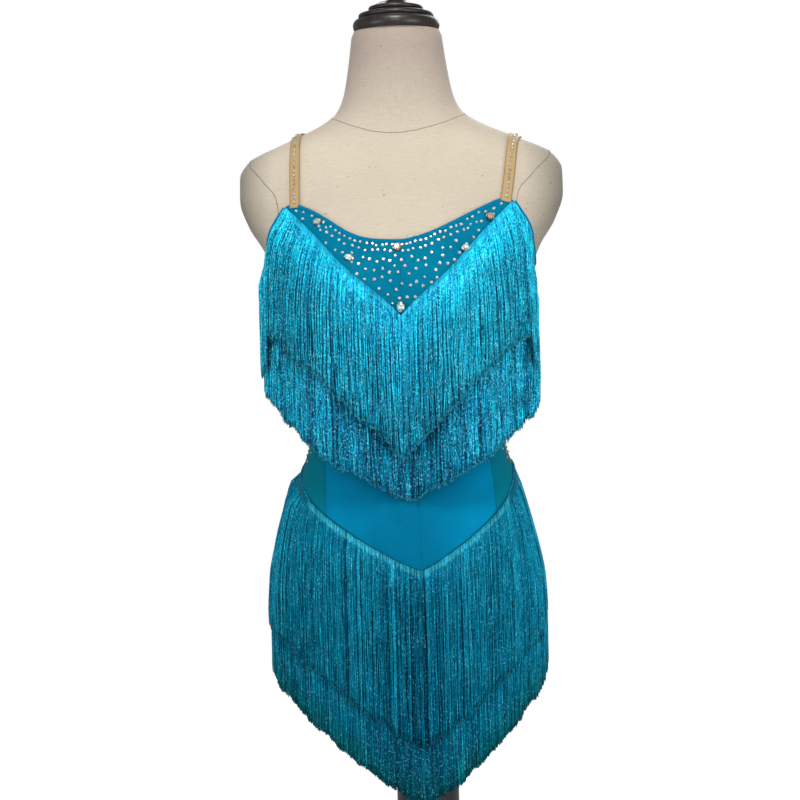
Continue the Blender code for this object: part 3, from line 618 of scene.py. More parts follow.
def build_mesh(name, points, quads, tris, finish, uvs=None, crease=45, stands_for=None):
    """An object from arrays. uvs holds maps by name, one pair for each point or for each corner.
    Edges sharper than crease degrees stay sharp; a crease of 0 leaves the faces flat."""
    quads = np.asarray(quads, np.int64).reshape(-1, 4)
    tris = np.asarray(tris, np.int64).reshape(-1, 3)
    corners = np.concatenate([quads.ravel(), tris.ravel()])
    starts = np.concatenate([np.arange(len(quads)) * 4, quads.size + np.arange(len(tris)) * 3])
    mesh = bpy.data.meshes.new(name)
    mesh.vertices.add(len(points))
    mesh.vertices.foreach_set("co", np.asarray(points, np.float32).ravel())
    mesh.loops.add(len(corners))
    mesh.loops.foreach_set("vertex_index", corners.astype(np.int32))
    mesh.polygons.add(len(starts))
    mesh.polygons.foreach_set("loop_start", starts.astype(np.int32))
    mesh.update(calc_edges=True)
    mesh.validate()
    for layer, values in (uvs or {}).items():
        values = np.asarray(values, np.float32)
        if len(values) != len(corners):
            values = values[corners]
        mesh.uv_layers.new(name=layer).data.foreach_set("uv", values.ravel())
    if crease:
        mesh.shade_smooth()
        mesh.set_sharp_from_angle(angle=math.radians(crease))
    mesh.materials.append(finish.material)
    placed = bpy.data.objects.new(name, mesh)
    bpy.context.scene.collection.objects.link(placed)
    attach(placed, "root")
    if stands_for:
        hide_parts(stands_for)
    return placed


class Parts:
    """Gathers points, faces and maps of many small forms that become one object."""

    def __init__(self):
        self.points, self.quads, self.tris, self.maps, self.count = [], [], [], [], 0

    def add(self, points, quads=(), tris=(), tone=(0.5, 0.5)):
        points = np.asarray(points, float).reshape(-1, 3)
        self.points.append(points)
        self.quads.append(np.asarray(quads, np.int64).reshape(-1, 4) + self.count)
        self.tris.append(np.asarray(tris, np.int64).reshape(-1, 3) + self.count)
        self.maps.append(np.broadcast_to(np.asarray(tone, float), (len(points), 2)))
        self.count += len(points)

    def build(self, name, finish, crease=45, stands_for=None):
        maps = {"tone": np.concatenate(self.maps)}
        arrays = (np.concatenate(a) for a in (self.points, self.quads, self.tris))
        return build_mesh(name, *arrays, finish, maps, crease, stands_for)


def grid_faces(index):
    """Quads between the rows and columns of a grid of point numbers."""
    return np.stack([index[:-1, :-1], index[:-1, 1:], index[1:, 1:], index[1:, :-1]], -1).reshape(-1, 4)


def ring_index(rings, sides):
    """Point numbers of rings that each end where they start."""
    index = np.arange(rings * sides).reshape(rings, sides)
    return np.concatenate([index, index[:, :1]], 1)


def ring_points(profile, sides, aside=0.0):
    """Rings of points round an upright axis; the profile's pairs are (radius, height)."""
    radius, height = np.asarray(profile, float).T[:, :, None] * np.ones(sides)
    return on_axis(np.arange(sides) * math.tau / sides, height, radius) + [aside, 0, 0]


def round_solid(points, aside=0.0):
    """Points, quads and end fans of a closed round form, from its rings of points."""
    index = ring_index(*points.shape[:2])
    low = points[..., 0].size
    ends = [[aside, 0, points[0, 0, 2]], [aside, 0, points[-1, 0, 2]]]
    tris = [(b, a, low) for a, b in zip(index[0], index[0, 1:])]
    tris += [(a, b, low + 1) for a, b in zip(index[-1], index[-1, 1:])]
    return np.concatenate([points.reshape(-1, 3), ends]), grid_faces(index), tris


def closed_wall(name, inner, outer, finish, uv, stands_for):
    """A closed wall between two grids of points, [row][column]; uv is a grid of pairs."""
    rows, columns = inner.shape[:2]
    index = np.arange(rows * columns).reshape(rows, columns)
    above = index + index.size
    rim = np.array([*index[0], *index[1:, -1], *index[-1, -2::-1], *index[-2:0:-1, 0]])
    ahead = np.roll(rim, -1)
    edge = np.stack([rim, ahead, ahead + index.size, rim + index.size], -1)
    quads = np.concatenate([grid_faces(index)[:, ::-1], grid_faces(above), edge])
    points = np.concatenate([inner.reshape(-1, 3), outer.reshape(-1, 3)])
    maps = {"cloth": np.tile(uv.reshape(-1, 2), (2, 1))}
    return build_mesh(name, points, quads, (), finish, maps, stands_for=stands_for)


def swept(path, normals, section, closed=False):
    """Points and faces of a section swept along a path. The section's pairs are (across, out)."""
    if closed:
        along = np.roll(path, -1, 0) - np.roll(path, 1, 0)
    else:
        along = np.gradient(path, axis=0)
    across = unit(np.cross(normals, unit(along)))
    points = (
        path[:, None]
        + section[None, :, :1] * across[:, None]
        + section[None, :, 1:] * unit(normals)[:, None]
    )
    count, sides = len(path), len(section)
    index = np.arange(count * sides).reshape(count, sides)
    nxt = np.roll(index, -1, 0) if closed else index[1:]
    here = index if closed else index[:-1]
    quads = np.stack([here, np.roll(here, -1, 1), np.roll(nxt, -1, 1), nxt], -1).reshape(-1, 4)
    tris = []
    if not closed:
        for ring, way in ((index[0], 1), (index[-1], -1)):
            tris += [(ring[0], ring[k], ring[k + 1])[::way] for k in range(1, sides - 1)]
    return points.reshape(-1, 3), quads, tris


def oval_section(half_width, height, base=0.0, sides=10):
    """A low rounded section that lies on its seat."""
    turn = np.arange(sides) * math.tau / sides
    return np.stack([half_width * np.cos(turn), base + height * (1 + np.sin(turn)) / 2], -1)


def smooth_line(stations, samples, closed=False):
    """A Catmull-Rom curve through the stations."""
    stations = np.asarray(stations, float)
    count = len(stations)
    spans = count if closed else count - 1
    at = np.linspace(0, spans, samples, endpoint=not closed)
    i = np.minimum(at.astype(int), spans - 1)
    t = (at - i)[:, None]
    near = (i + k for k in (-1, 0, 1, 2))
    p = [stations[k % count if closed else np.clip(k, 0, count - 1)] for k in near]
    return 0.5 * (
        2 * p[1]
        + (p[2] - p[0]) * t
        + (2 * p[0] - 5 * p[1] + 4 * p[2] - p[3]) * t**2
        + (3 * p[1] - p[0] - 3 * p[2] + p[3]) * t**3
    )


def length_along(points):
    return np.concatenate([[0], np.cumsum(np.linalg.norm(np.diff(points, axis=0), axis=1))])


def wander(across, along, waves, generator):
    """Smooth noise over two lengths in metres: a sum of slanted waves, about one high."""
    total = 0
    for wave_across, wave_along in waves:
        phase = generator.uniform(0, math.tau)
        total = total + np.sin(math.tau * (across / wave_across + along / wave_along) + phase)
    return total / math.sqrt(len(waves))


# The form and its stand


def build_form():
    heights = np.linspace(FORM_BOTTOM, FORM_TOP, 124)
    turns = np.arange(120) * math.tau / 120
    radius = form_radius(turns, heights[:, None], BUST.proud - BUST_EASE)
    for off, run, depth in ((heights - FORM_BOTTOM, 0.004, 0.0025), (FORM_TOP - heights, 0.003, 0.0020)):
        inward = 1 - np.clip(off / run, 0, 1)
        radius = radius - depth * (1 - np.sqrt(1 - inward**2))[:, None]
    solid = round_solid(on_axis(turns, heights[:, None], radius))
    return build_mesh("form_cover", *solid, LINEN, stands_for="form_torso")


# (degrees, height) round the neck and round the left arm stub
NECK_SEAM = (
    (-180, 1.148), (-140, 1.144), (-105, 1.137), (-64, 1.1255), (-46, 1.1172), (-29, 1.1108),
    (-12, 1.1080), (6, 1.1075), (24, 1.1097), (38, 1.1132), (52, 1.1185), (66, 1.1250), (105, 1.137),
    (140, 1.144), (180, 1.148),
)
ARM_SEAM = (
    (90, 1.087), (79, 1.0725), (73, 1.055), (68.5, 1.040), (66.5, 1.018), (68, 0.996), (75, 0.978),
    (90, 0.968), (105, 0.978), (112, 0.996), (113.5, 1.018), (111.5, 1.040), (107, 1.055), (101, 1.0725),
)


def build_form_seams():
    parts = Parts()

    def seam(turn, height, closed):
        path = on_axis(turn, height, form_radius(turn, height, BUST.proud - BUST_EASE))
        parts.add(*swept(path, form_normal(turn, height), oval_section(0.00042, 0.0004, -0.0001, 6), closed))

    turn = np.linspace(-math.pi, math.pi, 180, endpoint=False)
    seam(turn, np.interp(np.degrees(turn), *zip(*NECK_SEAM)), True)
    for side in (1, -1):
        degrees, height = smooth_line(ARM_SEAM, 140, True).T
        seam(side * np.radians(degrees), height, True)
    for degrees, upper in ((90, (0.966,)), (180, (1.05, 1.147)), (270, (0.966,))):
        stations = [(degrees, z) for z in (FORM_BOTTOM + 0.003, 0.7, 0.9, *upper)]
        degrees, height = smooth_line(stations, 140).T
        seam(np.radians(degrees), height, False)
    parts.build("form_seams", SEAM_THREAD)


def turned_piece(name, profile, bottom, sides, node_name, aside=0.0):
    """A smooth turned solid; the profile's pairs are (radius, height above the bottom)."""
    solid = round_solid(ring_points([(r, bottom + z) for r, z in profile], sides, aside), aside)
    build_mesh(name, *solid, DARK_WOOD, stands_for=node_name)


def bead(radius, bottom, top, bulge, samples=7):
    """Part of a profile that swells out between two heights."""
    turn = np.linspace(-math.pi / 2, math.pi / 2, samples)
    middle, half = (bottom + top) / 2, (top - bottom) / 2
    return [(radius - bulge + bulge * math.cos(t), middle + half * math.sin(t)) for t in turn]


def build_stand():
    foot = [(BASE_RADIUS - 0.006, 0.0)]
    foot += bead(BASE_RADIUS, 0.0005, 0.0125, 0.005)
    foot += [(BASE_RADIUS - 0.0075, 0.0135), (BASE_RADIUS - 0.0085, 0.0150)]
    foot += bead(BASE_RADIUS - 0.010, 0.0155, 0.0205, 0.0025, 5)
    foot += [(BASE_RADIUS - 0.022, 0.0213), (BASE_RADIUS - 0.060, 0.0217)]
    foot += [(0.060, 0.0219), (0.020, BASE_THICKNESS)]
    turned_piece("base_turned", foot, 0.0, 128, "stand_base")
    bottom, top = BASE_THICKNESS + CLEAR, FORM_BOTTOM - CLEAR
    pole = [(POLE_RADIUS - 0.0005, bottom), (POLE_RADIUS, bottom + 0.0006)]
    pole += [(POLE_RADIUS, z) for z in np.linspace(bottom + 0.01, top - 0.01, 12)]
    pole += [(POLE_RADIUS, top - 0.0006), (POLE_RADIUS - 0.0005, top)]
    turned_piece("pole_turned", pole, 0.0, 64, "stand_pole", POLE_ASIDE)
    cap = [(0.0440, 0.0)]
    cap += bead(0.0492, 0.0004, 0.0118, 0.0030, 9)
    cap += [(0.0462, 0.0124), (0.0445, 0.0130), (0.0432, 0.0140)]
    cap += bead(0.0428, 0.0142, 0.0196, 0.0022)
    cap += [(0.0380, 0.0203), (0.0335, 0.0212), (0.0318, 0.0222)]
    cap += bead(0.0312, 0.0226, 0.0276, 0.0020)
    cap += [(0.0270, 0.0285), (0.0225, 0.0302), (0.0195, 0.0318), (0.0165, 0.0330)]
    turned_piece("cap_turned", cap, FORM_TOP + CLEAR, 96, "neck_cap")
    knob = [(0.0118, 0.0), (0.0104, 0.0016), (0.0091, 0.0034), (0.0092, 0.0048)]
    turn = np.linspace(-1.0, 1.45, 15)
    knob += [(0.0155 * math.cos(t) ** 0.8, 0.0170 + 0.0115 * math.sin(t)) for t in turn]
    turned_piece("knob_turned", knob, FORM_TOP + CLEAR + 0.0330 + CLEAR, 64, "cap_knob")


# The body of the dress


def seam_ends(angle_at, columns, above, below):
    """Heights where lines up the body leave the skirt seam and meet the top edge."""
    low, high = np.full(columns, WAIST_HEIGHT), np.full(columns, UNDERARM)
    for _ in range(30):
        low = skirt_seam(angle_at(low)) + above
        high = top_edge(angle_at(high)) - below
    return low, high


def build_body():
    """Panels from the skirt seam to the top edge, as fine closed walls."""
    for name, first, last, columns, rows, finish, wrinkle in (
        ("front_left", CENTRE, princess_left, 44, 78, TEAL_KNIT, 0.0004),
        ("front_right", princess_right, CENTRE, 44, 78, TEAL_KNIT, 0.0004),
        ("side_left", princess_left, SIDE_LEFT, 16, 64, TEAL_NET, 0.0003),
        ("side_right", SIDE_RIGHT, princess_right, 16, 64, TEAL_NET, 0.0003),
        ("back", SIDE_LEFT, upright(math.tau - SIDE_SEAM), 88, 60, SKIN_NET, 0.0004),
    ):
        share = np.linspace(0, 1, columns)

        def angle_at(z):
            return (1 - share) * (first(z) + SEAM_TURN) + share * (last(z) - SEAM_TURN)

        low, high = seam_ends(angle_at, columns, SEAM_DROP, 0)
        heights = low + (high - low) * np.linspace(0, 1, rows)[:, None]
        turns = worn_turn(angle_at(heights), heights)
        arc = 0.125 * turns
        from_edge = np.minimum(share, 1 - share) * columns
        folds = wander(arc, 0.35 * heights, FOLD_WAVES, seeded)
        folds = wrinkle * (0.5 + 0.5 * folds) * np.clip(from_edge / 4, 0, 1)
        rounded = 0.35 * CLOTH_WALL * (from_edge < 0.9)
        inner = form_point(turns, heights, CLOTH_GAP + 0.5 * folds)
        outer = form_point(turns, heights, CLOTH_OUTSIDE + folds - rounded)
        closed_wall("panel_" + name, inner, outer, finish, np.stack([arc, heights], -1), name)


def build_skirt():
    share = np.linspace(0, 1, 18)[:, None]
    for name, first, last in (
        ("skirt_front", -SIDE_SEAM, SIDE_SEAM),
        ("skirt_back", SIDE_SEAM, math.tau - SIDE_SEAM),
    ):
        angles = np.linspace(first + SEAM_TURN, last - SEAM_TURN, 72)
        heights = (1 - share) * SKIRT_HEM + share * (skirt_seam(angles) - SEAM_DROP)
        turns = worn_turn(np.broadcast_to(angles, heights.shape), heights)
        inner, outer = form_point(turns, heights, CLOTH_GAP), form_point(turns, heights, CLOTH_OUTSIDE)
        closed_wall("base_" + name, inner, outer, TEAL_KNIT, np.stack([0.14 * turns, heights], -1), name)


def build_trim():
    """Bound edges of the yoke and the back, the piping along the skirt seam and the upright seams."""
    neckline, back, piping, seams = Parts(), Parts(), Parts(), Parts()
    armhole = np.radians(np.linspace(65.2, 85.9, 80))
    for parts, angles, drop, half_width in (
        (neckline, np.radians(np.linspace(-60.5, 60.5, 240)), 0.0022, 0.0022),
        (neckline, armhole, 0.00176, 0.0018),
        (neckline, -armhole, 0.00176, 0.0018),
        (back, np.linspace(SIDE_SEAM, math.tau - SIDE_SEAM, 420), 0.0022, 0.0024),
    ):
        line = along_form(angles, top_edge(angles) - drop, CLOTH_OUTSIDE + 0.0001)
        parts.add(*swept(*line, oval_section(half_width, 0.0009)))
    angles = np.linspace(-math.pi, math.pi, 480, endpoint=False)
    line = along_form(angles, skirt_seam(angles), CLOTH_OUTSIDE)
    piping.add(*swept(*line, oval_section(0.0007, 0.0010, 0.0, 8), True))
    for angle_at in (CENTRE, princess_left, princess_right, SIDE_LEFT, SIDE_RIGHT):
        low, high = seam_ends(angle_at, 1, 0.001, 0.001)
        heights = np.linspace(low[0], high[0], 90)
        line = along_form(angle_at(heights), heights, CLOTH_OUTSIDE - 0.0002)
        seams.add(*swept(*line, oval_section(0.0003, 0.0003, 0.0, 6)))
    neckline.build("neckline_binding", TEAL_BINDING)
    back.build("back_binding", SKIN_BINDING)
    piping.build("skirt_piping", TEAL_BINDING)
    seams.build("panel_seams", SEAM_TEAL)


# Straps


def furthest(holds, low, high, steps):
    """The furthest place from low towards high where something still holds, found by halving."""
    for _ in range(steps):
        middle = (low + high) / 2
        if holds(middle):
            low = middle
        else:
            high = middle
    return low


def strap_line(strap, stations):
    """Points and normals on the form from the front seat over the shoulder to the back."""

    def at(x, lean):
        start = np.array([x, 0.0, 1.0])
        direction = np.array([0.0, -math.sin(lean), math.cos(lean)])
        reach = furthest(lambda far: clearance(start + far * direction)[0] < 0, 0.0, 0.2, 40)
        point = start + reach * direction
        return point, clearance(point)[1]

    front = furthest(lambda lean: at(strap.seat_x, lean)[0][2] > STRAP_SEAT - 0.003, 0.0, 2.2, 30)
    back = furthest(lambda lean: at(strap.back_x, lean)[0][2] > UNDERARM - 0.003, 0.0, -2.4, 30)
    line = []
    for share in np.linspace(0, 1, stations):
        lean = front + (back - front) * share
        end_x, end = (strap.seat_x, front) if lean > 0 else (strap.back_x, back)
        line.append(at(strap.shoulder_x + (end_x - strap.shoulder_x) * (lean / end), lean))
    points, normals = zip(*line)
    return np.array(points), np.array(normals)


def build_straps():
    """Both straps; gives each one's line for its crystals."""
    lines = []
    for strap in STRAPS:
        points, normals = strap_line(strap, 90)
        along = unit(np.gradient(points, axis=0))
        across = unit(np.cross(along, normals))
        length = length_along(points)
        offs = np.array([-1.0, -0.97, -0.85, -0.5, 0.0, 0.5, 0.85, 0.97, 1.0]) * STRAP_WIDTH / 2
        crown = np.array([-0.45, -0.12, 0.0, 0.04, 0.08, 0.04, 0.0, -0.12, -0.45]) * CLOTH_WALL
        ends = np.clip(np.minimum(length, length[-1] - length) / 0.006, 0, 1)
        lift = 0.0010 * (1 - ends)[:, None, None]
        middle = points[:, None] + offs[None, :, None] * across[:, None]
        inner = middle + (CLOTH_GAP + lift) * normals[:, None]
        outer = middle + (CLOTH_OUTSIDE + lift + crown[None, :, None]) * normals[:, None]
        uv = np.stack(np.broadcast_arrays(offs[None, :], length[:, None]), -1)
        closed_wall(strap.name + "_elastic", inner, outer, SKIN_ELASTIC, uv, strap.name)
        lines.append((points, normals, along, length))
    return lines


# Fringe


def hang(angles, heights, tier, lift, length):
    """Paths of limp strands from their seam: each step falls, is pushed off the form and keeps its
    length. The lift grows to the strand's own, to pass over what is sewn below."""
    step = (length / STRAND_STEPS)[:, None]
    on_left = np.sin(angles) > 0
    reach = np.abs(angles) / YOKE_END
    fan = np.where(on_left, tier.left.fan, -tier.right.fan)
    fan = fan * np.where(reach < 1, reach**FAN_POWER, np.clip(1 - (reach - 1) / FAN_FADE, 0.15, 1))
    flare = np.where(on_left, tier.left.flare, tier.right.flare)
    past = np.clip((reach - 1) / 0.05, 0, 1)
    start_lift = (TAPE_OUTSIDE + 0.8 * STRAND_RADIUS - ARMHOLE_SINK * past)[:, None]
    run = np.interp(reach, (0.75, 1.0), (LIFT_RUN, ARMHOLE_LIFT_RUN if tier.left.fan > 0 else LIFT_RUN))
    here = form_point(worn_turn(angles, heights), heights, start_lift[:, 0])
    path = [here]
    for i in range(1, STRAND_STEPS + 1):
        fallen = i * step
        ease = np.clip((fallen - TAPE_HEIGHT * 0.5) / run[:, None], 0, 1)
        turn = np.arctan2(here[:, 0], -here[:, 1])
        own_lift = (lift + flare * np.sin(turn) ** 6)[:, None]
        wanted = start_lift + (own_lift - start_lift) * ease * ease * (3 - 2 * ease)
        slope = fan * np.exp(-np.maximum(fallen[:, 0] - TAPE_HEIGHT, 0) / FAN_RUN)
        slope = slope * np.clip(fallen[:, 0] / TAPE_HEIGHT, 0, 1)
        there = here + step * np.stack([slope * np.cos(turn), slope * np.sin(turn), -np.ones_like(turn)], 1)
        ahead = np.clip((FORWARD_TO - np.abs(turn)) / FORWARD_FADE, 0, 1)[:, None] * FORWARD
        for _ in range(5):
            gap, normal = clearance(there)
            push = unit(normal + ahead)
            lean = (push * normal).sum(-1, keepdims=True)
            there = there + push * np.maximum(wanted - gap[:, None], 0) / lean
            move = there - here
            there = here + move * step / np.linalg.norm(move, axis=1, keepdims=True)
        path.append(there)
        here = there
    return np.array(path)


def clumps(spots, narrow, wide, generator):
    """(number of its clump, way to the clump's middle) for strands at these spots along a tape."""
    edges = np.cumsum(generator.uniform(narrow, wide, int(spots.max() / narrow) + 2))
    number = np.searchsorted(edges, spots)
    middle = edges[number] - 0.5 * np.diff(edges, prepend=0.0)[number]
    return number, middle - spots


def strand_spots(length, layers, generator):
    """(places along the tape, depths) of the strands: an uneven row at each depth. The outer depths are
    1 and 2; those at 0 and -1 are the inmost."""
    count = int(length / STRAND_PITCH)
    spots, depth = [], []
    for layer in range(3 - layers, 3):
        even = (np.arange(count) + 0.25 + LAYER_OFFSETS[layer]) / count * length
        spots.append(even + generator.uniform(-0.35, 0.35, count) * STRAND_PITCH * (1 if layer > 0 else 0.3))
        depth.append(np.full(count, layer))
    return np.clip(np.concatenate(spots), 0.0004, length - 0.0004), np.concatenate(depth)


def twisted_tubes(paths, outward, fallen, spots, depth, generator):
    """Points [step][strand][side] of the strands' twisted tubes, their numbers, their quads and the
    quads' corners in map strand."""
    strands = len(spots)
    steps = np.arange(STRAND_STEPS + 1)[:, None]
    thick = STRAND_RADIUS * generator.uniform(0.85, 1.12, strands) * np.where(depth > 0, 1.0, 1.2)
    profile = np.interp(steps / STRAND_STEPS, (0, 0.06, 0.94, 1.0), (0.8, 1.0, 1.0, 0.7))
    tangent = unit(np.gradient(paths, axis=0))
    side = unit(np.cross(tangent, outward))
    out = np.cross(side, tangent)
    corner = np.arange(STRAND_SIDES) * math.tau / STRAND_SIDES
    start = generator.uniform(0, math.tau, strands)
    spin = generator.uniform(0.25, 0.45, strands)
    angle = start[None, :, None] + (steps * spin)[..., None] + corner
    ring = np.cos(angle)[..., None] * side[:, :, None] + np.sin(angle)[..., None] * out[:, :, None]
    points = paths[:, :, None] + (thick * profile)[..., None, None] * ring
    index = np.arange(angle.size).reshape(angle.shape)
    low, high = index[:-1], index[1:]
    quads = np.stack([low, high, np.roll(high, -1, 2), np.roll(low, -1, 2)], -1).reshape(-1, 4)
    offset = (1000 * spots + generator.uniform(-0.3, 0.3, strands))[:, None]
    near = np.broadcast_to(np.arange(STRAND_SIDES) / STRAND_SIDES, low.shape)
    near, far = near + offset, near + 1 / STRAND_SIDES + offset
    top, foot = (np.broadcast_to(1000 * part[..., None], low.shape) for part in (fallen[:-1], fallen[1:]))
    corners = np.stack([near, top, near, foot, far, foot, far, top], -1).reshape(-1, 2)
    return points, index, quads, corners


def build_fringe(key, tier, seam, span, layers, finish, seed):
    """One tier of fringe: a few depths of strands on a tape, each with its own tone and wander. The
    outer ones gather in clumps and the inmost ones hang plain behind the partings."""
    generator = np.random.default_rng(seed)
    first, last = span
    fine = np.linspace(first, last, 800)
    arc = length_along(along_form(fine, seam(fine), 0.006)[0])
    spots, depth = strand_spots(arc[-1], layers, generator)
    angles = np.interp(spots, arc, fine)
    strands = len(angles)
    heights = seam(angles) - 0.0006 - 0.0008 * generator.random(strands)
    lack = np.where(np.sin(angles) > 0, tier.left.lack, tier.right.lack)
    length = tier.length + TAPE_HEIGHT - tier.length * lack * np.sin(angles) ** 2
    ragged = 0.0010 * wander(spots, 0 * spots, HEM_WAVES, generator)
    ragged = ragged + generator.normal(0, 0.0008, strands) - 0.0030 * (generator.random(strands) < 0.05)
    ragged = ragged + 0.0016 * np.tanh(3 * wander(spots, 0 * spots, STEP_WAVES, generator))
    length = length + ragged
    clump, inward = clumps(spots, 0.0028, 0.0080, generator)
    per_clump = generator.normal(0, 1, (2, clump.max() + 1))
    lift = tier.lift + (depth - 1) * 0.0012 + generator.uniform(-0.0004, 0.0004, strands)
    lift = np.maximum(lift + 0.0003 * per_clump[0, clump], TAPE_OUTSIDE + 0.3 * STRAND_RADIUS)
    paths = hang(angles, heights, tier, lift, length)
    share = np.linspace(0, 1, STRAND_STEPS + 1)[:, None]
    fallen = share * length
    turn = np.arctan2(paths[..., 0], -paths[..., 1])
    outward = on_axis(turn, 0 * turn, np.ones_like(turn))
    sideways = np.stack([np.cos(turn), np.sin(turn), 0 * turn], -1)

    free = tier.sway * np.clip((fallen - TAPE_HEIGHT) / 0.10, 0, 1.4) ** 1.2
    shift = 0.0010 * free * wander(spots, fallen, WANDER_WAVES, generator)
    own = generator.uniform(0, math.tau, (2, strands))
    stray = generator.uniform(0.2, 1.0, strands) ** 2
    shift = shift + 0.0008 * free * stray * np.sin(math.tau * fallen / 0.090 + own[0])
    shift = shift + 0.0004 * free * generator.normal(0, 1, strands)
    gathered = np.clip((fallen - TAPE_HEIGHT) / 0.05, 0, 1)
    gathered = gathered * np.clip(0.30 + 0.15 * per_clump[1, clump], 0, 0.6)
    shift = np.where(depth > 0, shift + tier.sway * gathered * inward, 0.1 * shift)
    shaded = np.zeros(strands)
    for degrees, half_width in tier.partings:
        if first < math.radians(degrees) < last:
            off = spots - np.interp(math.radians(degrees), fine, arc)
            opened = half_width * np.clip((fallen - TAPE_HEIGHT) / PARTING_RUN, 0, 1)
            aside = opened * np.sign(off) * np.exp(-np.abs(off) / PARTING_REACH)
            behind = np.abs(off) < half_width
            shift = np.where(behind, 0.1 * shift, shift + np.where(depth > 0, aside, 0))
            # Painted shade on the strands in the parting's gap
            shaded = shaded + np.where(behind, PARTING_SHADE, 0)
    swing = 0.0006 * free * stray * np.sin(math.tau * fallen / 0.070 + own[1])
    paths = paths + shift[..., None] * sideways + swing[..., None] * outward

    points, index, quads, corners = twisted_tubes(paths, outward, fallen, spots, depth, generator)
    # Painted shade at the centre front, and painted light towards the wearer's left with painted shade
    # towards the right
    tone = tier.tone * (1 - CENTRE_SHADE * np.exp(-((angles / CENTRE_SPREAD) ** 2)) + 0.07 * np.sin(angles))
    # Each strand's own random tone, and its clump a little lighter or darker as painted sheen
    tone = tone + tier.spread * (generator.normal(0, 1, strands) + 0.45 * tier.sway * per_clump[0, clump])
    # Painted shade on the strands behind a parting and on the inmost depths, painted light on the outermost
    tone = np.clip(tone - shaded + np.where(depth > 0, 0.08 * (depth - 1), -0.30), 0, 1)
    tones = np.stack(np.broadcast_arrays(tone, share), -1)
    tones = np.repeat(tones.reshape(-1, 2), STRAND_SIDES, 0)[quads.ravel()]

    tape_end = YOKE_END if seam is upper_seam else math.tau
    tape_angles = np.linspace(max(first, -tape_end), min(last, tape_end), 260)
    line = along_form(tape_angles, seam(tape_angles) - TAPE_HEIGHT / 2 - 0.0010, TAPE_INSIDE)
    tape, tape_quads, tape_tris = swept(*line, oval_section(TAPE_HEIGHT / 2 - 0.0015, TAPE_WALL, 0, 8))
    all_quads = np.concatenate([quads, tape_quads + index.size])
    all_tris = np.concatenate([index[0], index[-1][:, ::-1], np.array(tape_tris) + index.size])
    plain = all_quads.size - quads.size + all_tris.size
    maps = {
        "strand": np.concatenate([corners, np.zeros((plain, 2))]),
        "tone": np.concatenate([tones, np.full((plain, 2), 0.6 * tier.tone)]),
    }
    points = np.concatenate([points.reshape(-1, 3), tape])
    build_mesh("strands_" + key, points, all_quads, all_tris, finish, maps, 180, "fringe_" + key)


def build_fringes():
    yoke = (-ARMHOLE_END, ARMHOLE_END)
    front = (SEAM_TURN - SIDE_SEAM, SIDE_SEAM - SEAM_TURN)
    behind = (SIDE_SEAM + SEAM_TURN, math.tau - SIDE_SEAM - SEAM_TURN)
    for number, tier in enumerate((
        ("bust_upper", BUST_OVER, upper_seam, yoke, 3, FRINGE_BUST),
        ("bust_lower", BUST_UNDER, bust_seam, front, 3, FRINGE_UNDER),
        ("skirt_upper_front", SKIRT_OVER, skirt_seam, front, 3, FRINGE_SKIRT),
        ("skirt_upper_back", SKIRT_OVER, skirt_seam, behind, 3, FRINGE_SKIRT),
        ("skirt_lower_front", SKIRT_UNDER, lower_skirt_seam, front, 4, FRINGE_HEM),
        ("skirt_lower_back", SKIRT_UNDER, lower_skirt_seam, behind, 4, FRINGE_HEM),
    )):
        build_fringe(*tier, 31 + number)


# Stones


# Corners of the two facets at each side of a stone, by ring: 0 and 1 below, 2 and 3 above
FACETS = ((0, 1, 3), (0, 3, 2)), ((0, 1, 2), (1, 3, 2)), ((0, 3, 2), (0, 1, 3))


def across_at(normal):
    return unit(np.cross([0, 0, 1.0], normal))


def cut_stone(parts, seat, normal, across, half_width, half_height, rise, sides, generator, tones=SILVER):
    """A flat-backed cut stone: a low girdle, a ring of crown facets and a flat table."""
    up = np.cross(normal, across)
    turns = np.arange(sides) * math.tau / sides
    spun = generator.uniform(0, math.tau / sides)
    rings = []
    for height, scale, turn in ((0.0, 0.96, 0.0), (0.28, 1.0, 0.0), (0.72, 0.76, 0.5), (1.0, 0.46, 0.0)):
        angle = turns + spun + turn * math.tau / sides
        u, v = half_width * scale * np.cos(angle), half_height * scale * np.sin(angle)
        rings.append(seat + u[:, None] * across + v[:, None] * up + height * rise * normal)
    points = np.concatenate(rings)
    faces = []
    for low, pair in zip((0, sides, 2 * sides), FACETS):
        for i in range(sides):
            j = (i + 1) % sides
            corners = np.array((i, j, sides + i, sides + j)) + low
            faces += [corners[list(facet)] for facet in pair]
    table, top = len(faces), 3 * sides
    faces += [(top, top + i, top + i + 1) for i in range(1, sides - 1)]
    # Each facet takes a painted reflection: a small stone's crown the darker tones and its table one of the
    # brighter, a large stone's crown any tone and each table facet one of the brighter.
    small = sides < 12
    for number, face in enumerate(faces):
        if number < table:
            tone = generator.choice(tones[:7] if small else tones)
        elif number == table or not small:
            tone = generator.choice(tones[4:])
        parts.add(points[list(face)], (), ((0, 1, 2),), (tone, 0.5))


def small_stone(parts, angle, height, radius, rise, generator, tones=SILVER):
    seat, normal = along_form(np.array([angle]), np.array([height]), CLOTH_OUTSIDE + 0.0003)
    across = across_at(normal[0])
    cut_stone(parts, seat[0], normal[0], across, radius, radius, rise, 8, generator, tones)


def near_stone(angle, height, distance):
    for stone in STONES:
        across = (angle - math.radians(stone.degrees) + YOKE_TURN) * YOKE_RADIUS
        along = (height - stone.height) / (stone.half_height + distance)
        if math.hypot(across / (stone.half_width + distance), along) < 1:
            return True
    return False


